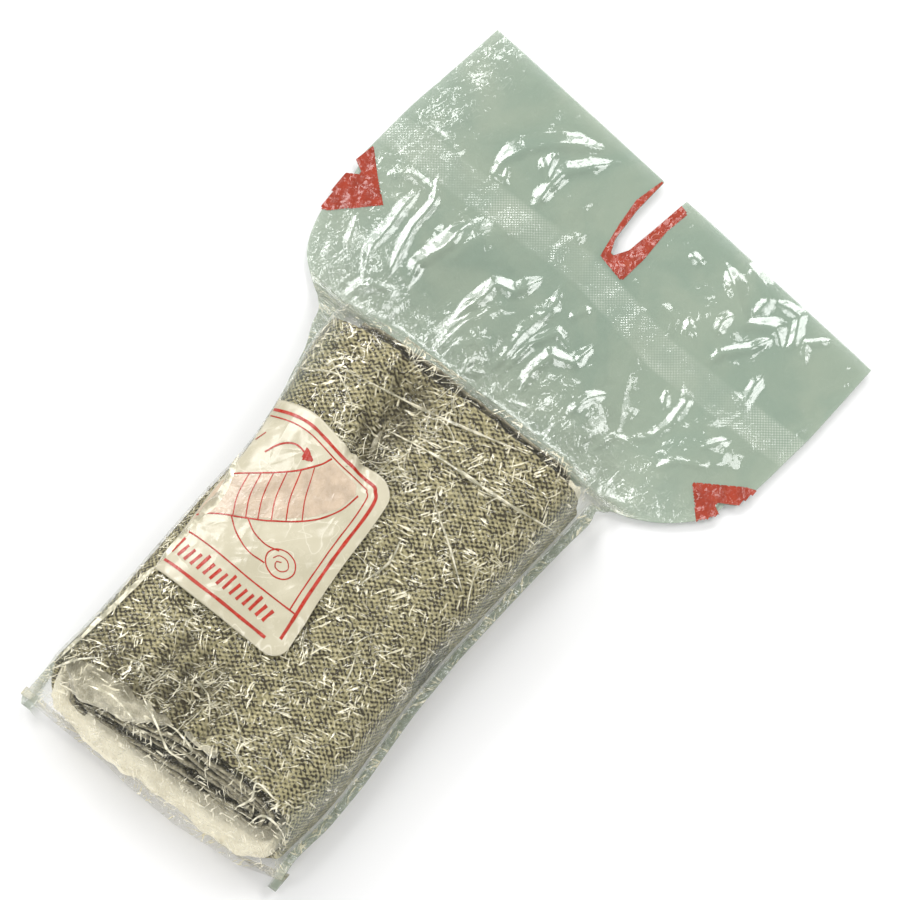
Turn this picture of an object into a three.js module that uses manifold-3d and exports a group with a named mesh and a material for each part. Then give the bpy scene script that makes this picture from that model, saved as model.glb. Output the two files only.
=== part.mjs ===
import * as THREE from "three";
import { mergeVertices } from "three/addons/utils/BufferGeometryUtils.js";
import Module from "manifold-3d";

// An emergency trauma bandage: a folded sterile pad and a wound elastic wrap, vacuum packed as a flattened
// roll in a clear film pouch. It lies on a surface, with the pouch's wide opening flap flat beside it.
// Millimetres. +X runs along the roll towards the flap, +Y towards the labelled side and +Z up.
// The origin is on the underside of the pouch, below the middle of the roll.

// Every layer keeps this much to the next one.
const CLEARANCE = 0.3;

// The wound roll
const ROLL_LENGTH = 96;
const ROLL_WIDTH = 63;
const ROLL_HEIGHT = 30.6;
const ROLL_START = -46.5;
const ROLL_SQUARENESS = 3.6;
const SOLE_SAG = 0.7;
const NEAR_SLANT = 7.2;
const WRAP_THICKNESS = 1.3;

// The sterile pad, folded round the inner turns: a thick leaf below and a thin one above
const PAD_THICKNESS = 7.6;
const PAD_LEAF = 2.2;
const PAD_NEAR_OVERHANG = 1.6;
const PAD_FAR_OVERHANG = 1.6;
const PAD_LEAF_END_DEG = 108;
const PAD_LOWER_END_DEG = -152;

// The inner turns of the wrap
const CORE_TURNS = 5;
const CORE_CLOTH = 1.1;
const CORE_SLACK = 0.35;
const CORE_SIDE_PLAY = 0.7;
const CORE_SHIFT = -1;
const CORE_NEAR_OVERHANG = 1;
const CORE_FAR_OVERHANG = 2.7;
const CORE_STEPS_PER_TURN = 24;

// The pouch: two webs of film that meet at a narrow fin round the roll and in the flap
const FILM = 0.5;
const FIN_WIDTH = 1.7;
const FIN_HEIGHT = 10;
const NEAR_FIN_WIDTH = 2;
const NEAR_FIN_HEIGHT = 2.6;
const NEAR_DOME_LENGTH = 9;
const FLAP_LENGTH = 82.8;
const FLAP_WIDTH = 116;
const FLAP_HEIGHT = 1.8;
const BILLOW_HEIGHT = 2.6;
const DENT_DEPTH = 1.4;

// The tear slit in the flap's top edge, and the notch in each side edge
const SLIT_DEPTH = 21.3;
const SLIT_MOUTH = 6.8;
const SLIT_PLACE = 2.35;
const NOTCH_DEPTH = 3;
const NOTCH_WIDTH = 3.4;
const NOTCH_PLACES = { left: 0.445, right: 0.277 };

// The printed label on the pouch
const LABEL_LENGTH = 47.5;
const LABEL_WIDTH = 41;
const LABEL_THICKNESS = 0.3;
const LABEL_CORNER = 4.5;
// The shrunk film has pulled it askew: its long and its short edges are turned by different amounts.
const LABEL_LONG_TURN_DEG = 5.4;
const LABEL_SHORT_TURN_DEG = -3;
const LABEL_PLACE = { along: -0.1, across: 13.7 };

// Half widths of the roll. along: share of its length, left and right: shares of half its width.
const ROLL_SIDES = [
  { along: -0.14, left: 1.1, right: 0.93 },
  { along: -0.04, left: 1.1, right: 0.955 },
  { along: 0.07, left: 1.07, right: 0.995 },
  { along: 0.17, left: 1.05, right: 1.0 },
  { along: 0.28, left: 1.04, right: 0.98 },
  { along: 0.48, left: 1.025, right: 0.955 },
  { along: 0.64, left: 1.0, right: 0.975 },
  { along: 0.8, left: 1.05, right: 1.005 },
  { along: 0.92, left: 1.115, right: 1.03 },
  { along: 1.06, left: 1.125, right: 1.05 },
];

// Cross sections shared by the roll's layers and the film. along: share of the roll's length.
const ROLL_SECTIONS = [0, 0.08, 0.18, 0.3, 0.42, 0.54, 0.65, 0.75, 0.82, 0.88, 0.94, 1];

// Dents and folds of the roll's top. along: share of its length, across: share of half its width,
// long and wide: their half sizes as the same shares, depth: share of DENT_DEPTH, up is negative.
const ROLL_DENTS = [
  { along: 0.88, across: 0.25, long: 0.09, wide: 0.16, depth: 1.0 },
  { along: 0.9, across: 0.53, long: 0.1, wide: 0.15, depth: -0.7 },
  { along: 0.05, across: 0.44, long: 0.13, wide: 0.13, depth: 0.8 },
  { along: 0.03, across: 0.08, long: 0.15, wide: 0.12, depth: 0.9 },
  { along: 0.08, across: -0.2, long: 0.12, wide: 0.13, depth: -0.5 },
  { along: 0.5, across: -0.42, long: 0.2, wide: 0.22, depth: 0.35 },
];

// Film over the roll's near end. out: share of the dome's length, upper and lower: share of each web's
// height over the fin that is left there.
const NEAR_DOME = [
  { out: 1, upper: 0, lower: 0 },
  { out: 0.94, upper: 0.22, lower: 0.9 },
  { out: 0.82, upper: 0.45, lower: 1 },
  { out: 0.65, upper: 0.68, lower: 1 },
  { out: 0.44, upper: 0.87, lower: 1 },
  { out: 0.22, upper: 0.965, lower: 1 },
];

// Far end and flap, as lines across the pouch. The along columns are shares of the flap's length beyond
// the roll, the side columns shares of half its width, and full is the share of the roll's height left.
const FLAP_LINES = [
  { leftAlong: 0.036, left: 0.715, rightAlong: 0.036, right: 0.61, full: 0.97 },
  { leftAlong: 0.066, left: 0.75, rightAlong: 0.052, right: 0.636, full: 0.8 },
  { leftAlong: 0.088, left: 0.78, rightAlong: 0.067, right: 0.63, full: 0.5 },
  { leftAlong: 0.108, left: 0.815, rightAlong: 0.084, right: 0.625, full: 0.24 },
  { leftAlong: 0.135, left: 0.865, rightAlong: 0.107, right: 0.7, full: 0.08 },
  { leftAlong: 0.182, left: 0.935, rightAlong: 0.14, right: 0.79, full: 0 },
  { leftAlong: 0.27, left: 0.985, rightAlong: 0.205, right: 0.9, full: 0 },
  { leftAlong: 0.37, left: 1.005, rightAlong: 0.3, right: 0.985, full: 0 },
  { leftAlong: 0.47, left: 1.01, rightAlong: 0.4, right: 1.015, full: 0 },
  { leftAlong: 0.57, left: 1.0, rightAlong: 0.49, right: 1.03, full: 0 },
  { leftAlong: 0.68, left: 0.985, rightAlong: 0.58, right: 1.045, full: 0 },
  { leftAlong: 0.79, left: 0.96, rightAlong: 0.665, right: 1.052, full: 0 },
  { leftAlong: 0.9, left: 0.935, rightAlong: 0.75, right: 1.058, full: 0 },
  { leftAlong: 1, left: 0.915, rightAlong: 0.832, right: 1.064, full: 0 },
];

// Where the pouch's fin widens towards the flap. along: share of the roll's length, more: share of its width.
const FIN_FLARE = [
  { along: 0.7, left: 0, right: 0 },
  { along: 0.86, left: 0.001, right: 0.002 },
  { along: 0.94, left: 0.01, right: 0.006 },
  { along: 1, left: 0.045, right: 0.012 },
];

// Billows of the front web over the flap. along and across: shares of the flap's length and half width,
// long and wide: half sizes as the same shares, turn: degrees from the roll's axis, rise: share of BILLOW_HEIGHT.
const FLAP_BILLOWS = [
  { along: 0.22, across: 0.62, long: 0.16, wide: 0.1, turn: 35, rise: 0.8 },
  { along: 0.24, across: 0.2, long: 0.2, wide: 0.12, turn: -8, rise: 1 },
  { along: 0.22, across: -0.3, long: 0.18, wide: 0.13, turn: 12, rise: 0.9 },
  { along: 0.36, across: -0.75, long: 0.18, wide: 0.1, turn: -30, rise: 0.7 },
  { along: 0.46, across: 0.45, long: 0.12, wide: 0.16, turn: 60, rise: 0.7 },
  { along: 0.66, across: -0.5, long: 0.14, wide: 0.14, turn: -40, rise: 0.6 },
  { along: 0.8, across: 0.42, long: 0.12, wide: 0.2, turn: 70, rise: 0.55 },
];

// The slit's outline. deep: share of its depth from the top edge, across: share of its mouth from its middle.
const SLIT_OUTLINE = [
  { deep: -0.4, across: 0.55 },
  { deep: 0, across: 0.5 },
  { deep: 0.42, across: 0.445 },
  { deep: 0.82, across: 0.25 },
  { deep: 0.94, across: 0.05 },
  { deep: 1, across: -0.06 },
  { deep: 0.81, across: -0.355 },
  { deep: 0.4, across: -0.44 },
  { deep: 0, across: -0.5 },
  { deep: -0.4, across: -0.6 },
];

const UPPER_COLUMNS = 25;
const LOWER_COLUMNS = 13;
const RIGHT_ANGLE = Math.PI / 2;
const radians = THREE.MathUtils.degToRad;

// The value of one column of a table at a place, on a smooth curve through its rows.
function through(table, column, at) {
  const last = table.length - 1;
  let k = 0;
  while (k < last - 1 && at > table[k + 1].along) k++;
  const slope = (i) => {
    const before = table[Math.max(i - 1, 0)];
    const after = table[Math.min(i + 1, last)];
    return (after[column] - before[column]) / (after.along - before.along);
  };
  const span = table[k + 1].along - table[k].along;
  const s = THREE.MathUtils.clamp((at - table[k].along) / span, 0, 1);
  const start = (1 + 2 * s) * (1 - s) ** 2;
  const end = s * s * (3 - 2 * s);
  return (
    start * table[k][column] +
    end * table[k + 1][column] +
    span * (s * (1 - s) ** 2 * slope(k) - s * s * (1 - s) * slope(k + 1))
  );
}

const mix = THREE.MathUtils.lerp;
const alongRoll = (x) => (x - ROLL_START) / ROLL_LENGTH;
const rollPlace = (along) => ROLL_START + along * ROLL_LENGTH;
const bell = (u) => Math.exp(-u * u);

// Middle and half width of the roll at a place along it.
function rollSpan(x) {
  const left = (through(ROLL_SIDES, "left", alongRoll(x)) * ROLL_WIDTH) / 2;
  const right = (through(ROLL_SIDES, "right", alongRoll(x)) * ROLL_WIDTH) / 2;
  return { middle: (left - right) / 2, half: (left + right) / 2 };
}

// Depth of the dents at a place on the roll's top, in millimetres.
function dentDepth(x, y) {
  return ROLL_DENTS.reduce((sum, dent) => {
    const u = (alongRoll(x) - dent.along) / dent.long;
    const v = (y / (ROLL_WIDTH / 2) - dent.across) / dent.wide;
    return sum + dent.depth * DENT_DEPTH * bell(u) * bell(v);
  }, 0);
}

// A point of a squared oval, at an angle from +Y through the top.
function ovalPoint(half, halfHeight, angle) {
  const c = Math.cos(angle);
  const s = Math.sin(angle);
  const reach = (Math.abs(c) ** ROLL_SQUARENESS + Math.abs(s) ** ROLL_SQUARENESS) ** (1 / ROLL_SQUARENESS);
  return { across: (half * c) / reach, up: (halfHeight * s) / reach };
}

const WRAP_BOTTOM = FILM + CLEARANCE;
const ROLL_MIDDLE_HEIGHT = WRAP_BOTTOM - SOLE_SAG + ROLL_HEIGHT / 2;

// A point of the roll's surface, or of a layer at an offset outside it: negative offsets lie inside.
function rollPoint(x, angle, offset) {
  const { middle, half } = rollSpan(x);
  const oval = ovalPoint(half + offset, ROLL_HEIGHT / 2 + offset, angle);
  const y = middle + oval.across;
  let z = ROLL_MIDDLE_HEIGHT + oval.up;
  if (oval.up > 0) z -= dentDepth(x, y) * (oval.up / (ROLL_HEIGHT / 2 + offset));
  return new THREE.Vector3(x, y, Math.max(z, WRAP_BOTTOM - offset));
}

// The near end is slanted: each layer reaches further out the lower it lies.
function nearEdge(overhang, z) {
  return ROLL_START - overhang - NEAR_SLANT * (1 - z / ROLL_HEIGHT);
}

// A closed solid between an inner and an outer grid of points. Each grid is a list of rows along the roll.
// closedRing joins the last column to the first. crossed cuts each four-cornered face along its other
// diagonal, so that a skin whose columns run the other way round has the same facets.
function skinBetween(inner, outer, { closedRing = false, crossed = false } = {}) {
  const rows = outer.length;
  const columns = outer[0].length;
  const positions = [...outer.flat(), ...inner.flat()].flatMap((p) => p.toArray());
  const faces = [];
  const out = (i, j) => i * columns + (j % columns);
  const into = (i, j) => rows * columns + out(i, j);
  const quad = (a, b, c, d) => faces.push(...(crossed ? [b, c, d, b, d, a] : [a, b, c, a, c, d]));
  const spans = closedRing ? columns : columns - 1;
  for (let j = 0; j < spans; j++) {
    for (let i = 0; i < rows - 1; i++) {
      quad(out(i, j), out(i, j + 1), out(i + 1, j + 1), out(i + 1, j));
      quad(into(i, j), into(i + 1, j), into(i + 1, j + 1), into(i, j + 1));
    }
    quad(out(0, j + 1), out(0, j), into(0, j), into(0, j + 1));
    quad(out(rows - 1, j), out(rows - 1, j + 1), into(rows - 1, j + 1), into(rows - 1, j));
  }
  if (!closedRing) {
    const last = columns - 1;
    for (let i = 0; i < rows - 1; i++) {
      quad(out(i, 0), out(i + 1, 0), into(i + 1, 0), into(i, 0));
      quad(out(i + 1, last), out(i, last), into(i, last), into(i + 1, last));
    }
  }
  const geometry = new THREE.BufferGeometry();
  geometry.setAttribute("position", new THREE.Float32BufferAttribute(positions, 3));
  geometry.setIndex(faces);
  return geometry;
}

// The grid moved along its outward normals.
function movedOut(grid, distance) {
  const rows = grid.length;
  const columns = grid[0].length;
  return grid.map((row, i) =>
    row.map((point, j) => {
      const down = grid[Math.min(i + 1, rows - 1)][j].clone().sub(grid[Math.max(i - 1, 0)][j]);
      const along = row[Math.min(j + 1, columns - 1)].clone().sub(row[Math.max(j - 1, 0)]);
      const normal = along.cross(down).normalize();
      return point.clone().addScaledVector(normal, distance);
    }),
  );
}

const evenly = (count, from, to) => Array.from({ length: count }, (_, k) => mix(from, to, k / (count - 1)));

// Angle at which the film leaves the roll for its fin, below the roll's widest height.
const FIN_DROP = (ROLL_MIDDLE_HEIGHT - FIN_HEIGHT) / (ROLL_HEIGHT / 2);
const FIN_ANGLE = -Math.atan2(FIN_DROP, (1 - FIN_DROP ** ROLL_SQUARENESS) ** (1 / ROLL_SQUARENESS));
const UPPER_ANGLES = evenly(UPPER_COLUMNS, FIN_ANGLE, Math.PI - FIN_ANGLE);
const LOWER_ANGLES = evenly(LOWER_COLUMNS, Math.PI - FIN_ANGLE, 2 * Math.PI + FIN_ANGLE);

// Elastic wrap, outer turn
function outerWrap() {
  const angles = [...UPPER_ANGLES, ...LOWER_ANGLES.slice(1, -1)];
  const layer = (offset) =>
    ROLL_SECTIONS.map((along) =>
      angles.map((angle) => {
        const point = rollPoint(rollPlace(along), angle, offset);
        return along === 0 ? rollPoint(nearEdge(0, point.z), angle, offset) : point;
      }),
    );
  return skinBetween(layer(-WRAP_THICKNESS), layer(0), { closedRing: true });
}

// The space that the inner turns fill, inside the pad's fold.
const CORE_BOTTOM = WRAP_BOTTOM + WRAP_THICKNESS + PAD_THICKNESS + 2 * CLEARANCE;
const CORE_TOP = WRAP_BOTTOM - SOLE_SAG + ROLL_HEIGHT - WRAP_THICKNESS - PAD_LEAF - 2 * CLEARANCE;
const CORE_INSET = WRAP_THICKNESS + PAD_LEAF + 2 * CLEARANCE;

function corePoint(x, angle, inset, sidePlay = CORE_SIDE_PLAY) {
  const { middle, half } = rollSpan(x);
  const halfHeight = (CORE_TOP - CORE_BOTTOM) / 2 - inset;
  const oval = ovalPoint(half - CORE_INSET - sidePlay - inset, halfHeight, angle);
  return new THREE.Vector3(x, middle + CORE_SHIFT + oval.across, (CORE_TOP + CORE_BOTTOM) / 2 + oval.up);
}

// Elastic wrap, inner turns: one ribbon wound in a flattened spiral
function innerWrap() {
  const sections = [0, 0.18, 0.42, 0.75, 1];
  const steps = CORE_TURNS * CORE_STEPS_PER_TURN;
  const pitch = CORE_CLOTH + CORE_SLACK;
  const far = rollPlace(1) + CORE_FAR_OVERHANG;
  const layer = (depth) =>
    sections.map((along) =>
      evenly(steps + 1, 0, CORE_TURNS).map((turn) => {
        const angle = 2 * Math.PI * turn - RIGHT_ANGLE / 2;
        const inset = depth + pitch * turn;
        const point = corePoint(along === 1 ? far : rollPlace(along), angle, inset);
        return along === 0 ? corePoint(nearEdge(CORE_NEAR_OVERHANG, point.z), angle, inset) : point;
      }),
    );
  return skinBetween(layer(CORE_CLOTH), layer(0));
}

// Sterile pad, folded in a C round the inner turns
function dressingPad() {
  const angles = [...LOWER_ANGLES.slice(1, -1).map((angle) => angle - 2 * Math.PI), ...UPPER_ANGLES].filter(
    (angle) => angle > radians(PAD_LOWER_END_DEG) && angle < radians(PAD_LEAF_END_DEG),
  );
  const far = rollPlace(1) + PAD_FAR_OVERHANG;
  const layer = (place) =>
    ROLL_SECTIONS.map((along) =>
      angles.map((angle) => {
        const point = place(along === 1 ? far : rollPlace(along), angle);
        return along === 0 ? place(nearEdge(PAD_NEAR_OVERHANG, point.z), angle) : point;
      }),
    );
  const outside = (x, angle) => rollPoint(x, angle, -WRAP_THICKNESS - CLEARANCE);
  const inside = (x, angle) => corePoint(x, angle, -CLEARANCE, 0);
  return skinBetween(layer(inside), layer(outside));
}

// Lines across the pouch from its near fin to the flap's top edge. Each has its two ends in plan, the share
// of the roll's height that each web keeps, and the place along the roll whose cross section it follows.
function pouchLines() {
  const lines = [];
  const rollLine = (x, upper, lower) => {
    const { middle, half } = rollSpan(x);
    const reach = half + CLEARANCE + FILM + FIN_WIDTH;
    const left = reach + through(FIN_FLARE, "left", alongRoll(x)) * ROLL_WIDTH;
    const right = reach + through(FIN_FLARE, "right", alongRoll(x)) * ROLL_WIDTH;
    const ends = [new THREE.Vector2(x, middle + left), new THREE.Vector2(x, middle - right)];
    lines.push({ ends, upper, lower, section: x });
  };
  rollLine(ROLL_START - NEAR_DOME_LENGTH - NEAR_FIN_WIDTH, 0, 0);
  NEAR_DOME.forEach(({ out, upper, lower }) => rollLine(ROLL_START - out * NEAR_DOME_LENGTH, upper, lower));
  ROLL_SECTIONS.forEach((along) => rollLine(rollPlace(along), 1, 1));
  FLAP_LINES.forEach((line) => {
    const leftEnd = new THREE.Vector2(
      rollPlace(1) + line.leftAlong * FLAP_LENGTH,
      (line.left * FLAP_WIDTH) / 2,
    );
    const rightEnd = new THREE.Vector2(
      rollPlace(1) + line.rightAlong * FLAP_LENGTH,
      (-line.right * FLAP_WIDTH) / 2,
    );
    const section = (leftEnd.x + rightEnd.x) / 2;
    lines.push({ ends: [leftEnd, rightEnd], upper: line.full, lower: line.full, section });
  });
  return lines;
}

// A point of the flap's left or right edge in plan, at a share of its length beyond the roll.
function flapEdge(side, along) {
  const key = side + "Along";
  const next = FLAP_LINES.findIndex((line) => line[key] >= along);
  const [a, b] = [FLAP_LINES[next - 1], FLAP_LINES[next]];
  const across = mix(a[side], b[side], (along - a[key]) / (b[key] - a[key]));
  const outward = side === "left" ? 1 : -1;
  return new THREE.Vector2(rollPlace(1) + along * FLAP_LENGTH, (outward * across * FLAP_WIDTH) / 2);
}

// Height of the front web over the back web in the flap.
function billowRise(x, y) {
  const along = (x - rollPlace(1)) / FLAP_LENGTH;
  const across = y / (FLAP_WIDTH / 2);
  return FLAP_BILLOWS.reduce((sum, billow) => {
    const turn = radians(billow.turn);
    const du = (along - billow.along) * (FLAP_LENGTH / (FLAP_WIDTH / 2));
    const dv = across - billow.across;
    const u = du * Math.cos(turn) + dv * Math.sin(turn);
    const v = dv * Math.cos(turn) - du * Math.sin(turn);
    return sum + billow.rise * BILLOW_HEIGHT * bell(u / billow.long) * bell(v / billow.wide);
  }, 0);
}

// One web's inner face. side is 1 for the front web over the roll and -1 for the back web under it.
function webFace(side) {
  const angles = side > 0 ? UPPER_ANGLES : LOWER_ANGLES;
  const spread = evenly(angles.length + 2, 1, -1).map((u) => u * side);
  return pouchLines().map(({ ends, upper, lower, section }) => {
    const full = side > 0 ? upper : lower;
    const onRoll = THREE.MathUtils.smoothstep(upper, 0, 1);
    const fold = section < 0 ? NEAR_FIN_HEIGHT : FLAP_HEIGHT;
    const finHeight = mix(fold, FIN_HEIGHT, onRoll);
    const flat = 1 - THREE.MathUtils.smoothstep(full, 0, 0.5);
    const [left, right] = ends;
    return spread.map((u, j) => {
      const edge = j === 0 || j === spread.length - 1;
      const spot = left.clone().lerp(right, (1 - u) / 2);
      let z = finHeight + (side * CLEARANCE) / 2;
      if (!edge) {
        const oval = rollPoint(section, angles[j - 1], CLEARANCE);
        const root = j === 1 || j === spread.length - 2;
        spot.y = mix(oval.y, spot.y, flat);
        if (!root) z += full * (oval.z - FIN_HEIGHT);
      }
      if (section > 0 && side > 0 && !edge) z += flat * billowRise(spot.x, spot.y);
      if (side < 0) z = Math.max(z, FILM);
      return new THREE.Vector3(spot.x, spot.y, z);
    });
  });
}

const wasm = await Module();
wasm.setup();

function toSolid(geometry) {
  const bare = new THREE.BufferGeometry();
  bare.setAttribute("position", geometry.getAttribute("position"));
  bare.setIndex(geometry.getIndex());
  const merged = mergeVertices(bare, 1e-4);
  return new wasm.Manifold(
    new wasm.Mesh({
      numProp: 3,
      vertProperties: new Float32Array(merged.attributes.position.array),
      triVerts: new Uint32Array(merged.index.array),
    }),
  );
}

function toGeometry(solid) {
  const mesh = solid.getMesh();
  const geometry = new THREE.BufferGeometry();
  geometry.setAttribute("position", new THREE.Float32BufferAttribute(mesh.vertProperties, 3));
  geometry.setIndex([...mesh.triVerts]);
  return geometry;
}

// A straight cutter through both webs from an outline in plan.
function cutter(outline) {
  const prism = new THREE.ExtrudeGeometry(new THREE.Shape(outline), { depth: ROLL_HEIGHT, bevelEnabled: false });
  prism.translate(0, 0, -ROLL_HEIGHT / 2);
  return toSolid(prism);
}

// The tear slit and the two side notches, cut through a web.
function cutOpenings(geometry) {
  const lines = pouchLines();
  const [topLeft, topRight] = lines.at(-1).ends;
  const acrossTop = topLeft.clone().sub(topRight).normalize();
  const inward = new THREE.Vector2(-acrossTop.y, acrossTop.x);
  const middle = topLeft.clone().add(topRight).multiplyScalar(0.5);
  const slit = SLIT_OUTLINE.map(({ deep, across }) =>
    middle
      .clone()
      .addScaledVector(inward, deep * SLIT_DEPTH)
      .addScaledVector(acrossTop, SLIT_PLACE + across * SLIT_MOUTH),
  );
  const notches = ["left", "right"].map((side) => {
    const outward = side === "left" ? 1 : -1;
    const tip = flapEdge(side, NOTCH_PLACES[side]);
    return [
      new THREE.Vector2(tip.x, tip.y - outward * NOTCH_DEPTH),
      new THREE.Vector2(tip.x - outward * NOTCH_WIDTH, tip.y + outward * NOTCH_DEPTH),
      new THREE.Vector2(tip.x + outward * NOTCH_WIDTH, tip.y + outward * NOTCH_DEPTH),
    ];
  });
  const cut = [slit, ...notches].reduce((solid, outline) => solid.subtract(cutter(outline)), toSolid(geometry));
  return toGeometry(cut);
}

function frontFilm() {
  const face = webFace(1);
  return cutOpenings(skinBetween(face, movedOut(face, FILM)));
}

function backFilm() {
  const face = webFace(-1);
  const under = movedOut(face, FILM);
  under.flat().forEach((point) => {
    point.z = Math.max(point.z, 0);
  });
  return cutOpenings(skinBetween(face, under, { crossed: true }));
}

// The angle on the roll's section at a distance along its surface from the top, towards the label's side.
function angleAtDistance(x, distance, offset) {
  const step = radians(1) * Math.sign(distance);
  let angle = RIGHT_ANGLE;
  let travelled = 0;
  let here = rollPoint(x, angle, offset);
  while (travelled < Math.abs(distance)) {
    const next = rollPoint(x, angle - step, offset);
    const length = next.distanceTo(here);
    if (travelled + length > Math.abs(distance)) {
      return angle - (step * (Math.abs(distance) - travelled)) / length;
    }
    travelled += length;
    angle -= step;
    here = next;
  }
  return angle;
}

// The printed label, with round corners, following the film over the roll's edge
function labelPanel() {
  const rows = 9;
  const columns = 16;
  const longTurn = radians(LABEL_LONG_TURN_DEG);
  const shortTurn = radians(LABEL_SHORT_TURN_DEG);
  const layer = (offset) =>
    evenly(rows, -0.5, 0.5).map((alongShare) =>
      evenly(columns, 0.5, -0.5).map((acrossShare) => {
        const across = acrossShare * LABEL_WIDTH;
        const cornerDepth = Math.max(Math.abs(across) - (LABEL_WIDTH / 2 - LABEL_CORNER), 0);
        const cornerCut = LABEL_CORNER - Math.sqrt(Math.max(LABEL_CORNER ** 2 - cornerDepth ** 2, 0));
        const along = alongShare * (LABEL_LENGTH - 2 * cornerCut);
        const x = LABEL_PLACE.along + along * Math.cos(longTurn) - across * Math.sin(shortTurn);
        const distance = LABEL_PLACE.across + along * Math.sin(longTurn) + across * Math.cos(shortTurn);
        return rollPoint(x, angleAtDistance(x, distance, offset), offset);
      }),
    );
  const under = 2 * CLEARANCE + FILM;
  return skinBetween(layer(under), layer(under + LABEL_THICKNESS));
}

const FINISHES = {
  wrap: { color: 0x8d8a6c, roughness: 0.95, metalness: 0 },
  pad: { color: 0xdcd3b8, roughness: 0.9, metalness: 0 },
  film: { color: 0xb4c4b0, roughness: 0.18, metalness: 0, transparent: true, opacity: 0.4 },
  label: { color: 0xe6d8bc, roughness: 0.45, metalness: 0 },
};

function piece(name, geometry, finish) {
  geometry.computeVertexNormals();
  const mesh = new THREE.Mesh(geometry, new THREE.MeshStandardMaterial(FINISHES[finish]));
  mesh.name = name;
  return mesh;
}

const bandage = new THREE.Group();
bandage.add(
  piece("elastic_wrap_outer", outerWrap(), "wrap"),
  piece("elastic_wrap_core", innerWrap(), "wrap"),
  piece("dressing_pad", dressingPad(), "pad"),
  piece("pouch_front_film", frontFilm(), "film"),
  piece("pouch_back_film", backFilm(), "film"),
  piece("label_panel", labelPanel(), "label"),
);

export default bandage;
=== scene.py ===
"""Vacuum-packed elastic trauma bandage: the looks of each piece over the frame's solids.

Sizes are in millimetres until a mesh is made. The roll lies along X, its labelled side is +Y, up is +Z.
"""

import math

import bpy
import numpy as np
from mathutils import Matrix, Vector
from mathutils.bvhtree import BVHTree


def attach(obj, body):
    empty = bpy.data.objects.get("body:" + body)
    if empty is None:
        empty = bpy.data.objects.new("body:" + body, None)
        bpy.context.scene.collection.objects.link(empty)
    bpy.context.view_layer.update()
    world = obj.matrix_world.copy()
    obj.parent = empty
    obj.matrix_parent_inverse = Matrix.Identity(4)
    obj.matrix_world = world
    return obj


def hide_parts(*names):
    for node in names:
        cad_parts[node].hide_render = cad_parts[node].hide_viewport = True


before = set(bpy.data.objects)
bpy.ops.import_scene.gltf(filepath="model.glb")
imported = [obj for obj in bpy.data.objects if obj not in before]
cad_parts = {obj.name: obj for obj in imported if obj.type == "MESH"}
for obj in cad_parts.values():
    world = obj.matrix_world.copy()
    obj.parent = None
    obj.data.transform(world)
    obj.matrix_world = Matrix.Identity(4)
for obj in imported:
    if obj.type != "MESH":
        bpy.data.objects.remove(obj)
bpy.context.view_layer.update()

MM = 0.001

# The roll and its layers
CLEARANCE = 0.3
ROLL_LENGTH = 96.0
ROLL_WIDTH = 63.0
ROLL_HEIGHT = 30.6
ROLL_START = -46.5
ROLL_END = ROLL_START + ROLL_LENGTH
ROLL_SQUARENESS = 3.6
SOLE_SAG = 0.7
NEAR_SLANT = 7.2
WRAP_THICKNESS = 1.3
PAD_THICKNESS = 7.6
PAD_LEAF = 2.2
PAD_LEAF_END = math.radians(108)
PAD_LOWER_END = math.radians(-152)
CORE_TURNS = 5
CORE_CLOTH = 1.1
CORE_SLACK = 0.35
CORE_SIDE_PLAY = 0.7
CORE_SHIFT = -1.0
CORE_NEAR_OVERHANG = 1.0
CORE_FAR_OVERHANG = 3.8

# The pouch and its flap
FILM_SPACE = 0.5
FIN_WIDTH = 1.7
FIN_HEIGHT = 10.0
NEAR_FIN_WIDTH = 2.0
NEAR_FIN_HEIGHT = 2.6
NEAR_DOME_LENGTH = 9.0
FLAP_LENGTH = 82.8
FLAP_WIDTH = 116.0
FLAP_HEIGHT = 1.8
BILLOW_HEIGHT = 2.6
DENT_DEPTH = 1.4
SLIT_DEPTH = 21.3
SLIT_MOUTH = 6.8
SLIT_PLACE = 2.35
NOTCH_DEPTH = 3.0
NOTCH_WIDTH = 3.4
NOTCH_PLACES = {"left": 0.445, "right": 0.277}

# The label
LABEL_LENGTH = 47.5
LABEL_WIDTH = 41.0
LABEL_CORNER = 4.5
LABEL_LONG_TURN = math.radians(5.4)
LABEL_SHORT_TURN = math.radians(-3)
LABEL_ALONG = 1.3
LABEL_LOW_SIDE = 13.4
LABEL_ACROSS = 15.0

WRAP_BOTTOM = FILM_SPACE + CLEARANCE
ROLL_MIDDLE_HEIGHT = WRAP_BOTTOM - SOLE_SAG + ROLL_HEIGHT / 2

# Half widths of the roll as shares of its width, at shares of its length
ROLL_SIDES = {
    "along": [-0.14, -0.04, 0.07, 0.17, 0.28, 0.48, 0.64, 0.8, 0.92, 1.06],
    "left": [1.1, 1.1, 1.07, 1.05, 1.04, 1.025, 1.0, 1.05, 1.115, 1.125],
    "right": [0.93, 0.955, 0.995, 1.0, 0.98, 0.955, 0.975, 1.005, 1.03, 1.05],
}
ROLL_SECTIONS = [0, 0.08, 0.18, 0.3, 0.42, 0.54, 0.65, 0.75, 0.82, 0.88, 0.94, 1]

# Broad dents of the roll's top: along, across, long, wide, depth, as shares
ROLL_DENTS = [
    (0.88, 0.25, 0.09, 0.16, 1.0),
    (0.9, 0.53, 0.1, 0.15, -0.7),
    (0.05, 0.44, 0.13, 0.13, 0.8),
    (0.03, 0.08, 0.15, 0.12, 0.9),
    (0.08, -0.2, 0.12, 0.13, -0.5),
    (0.5, -0.42, 0.2, 0.22, 0.35),
]

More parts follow.
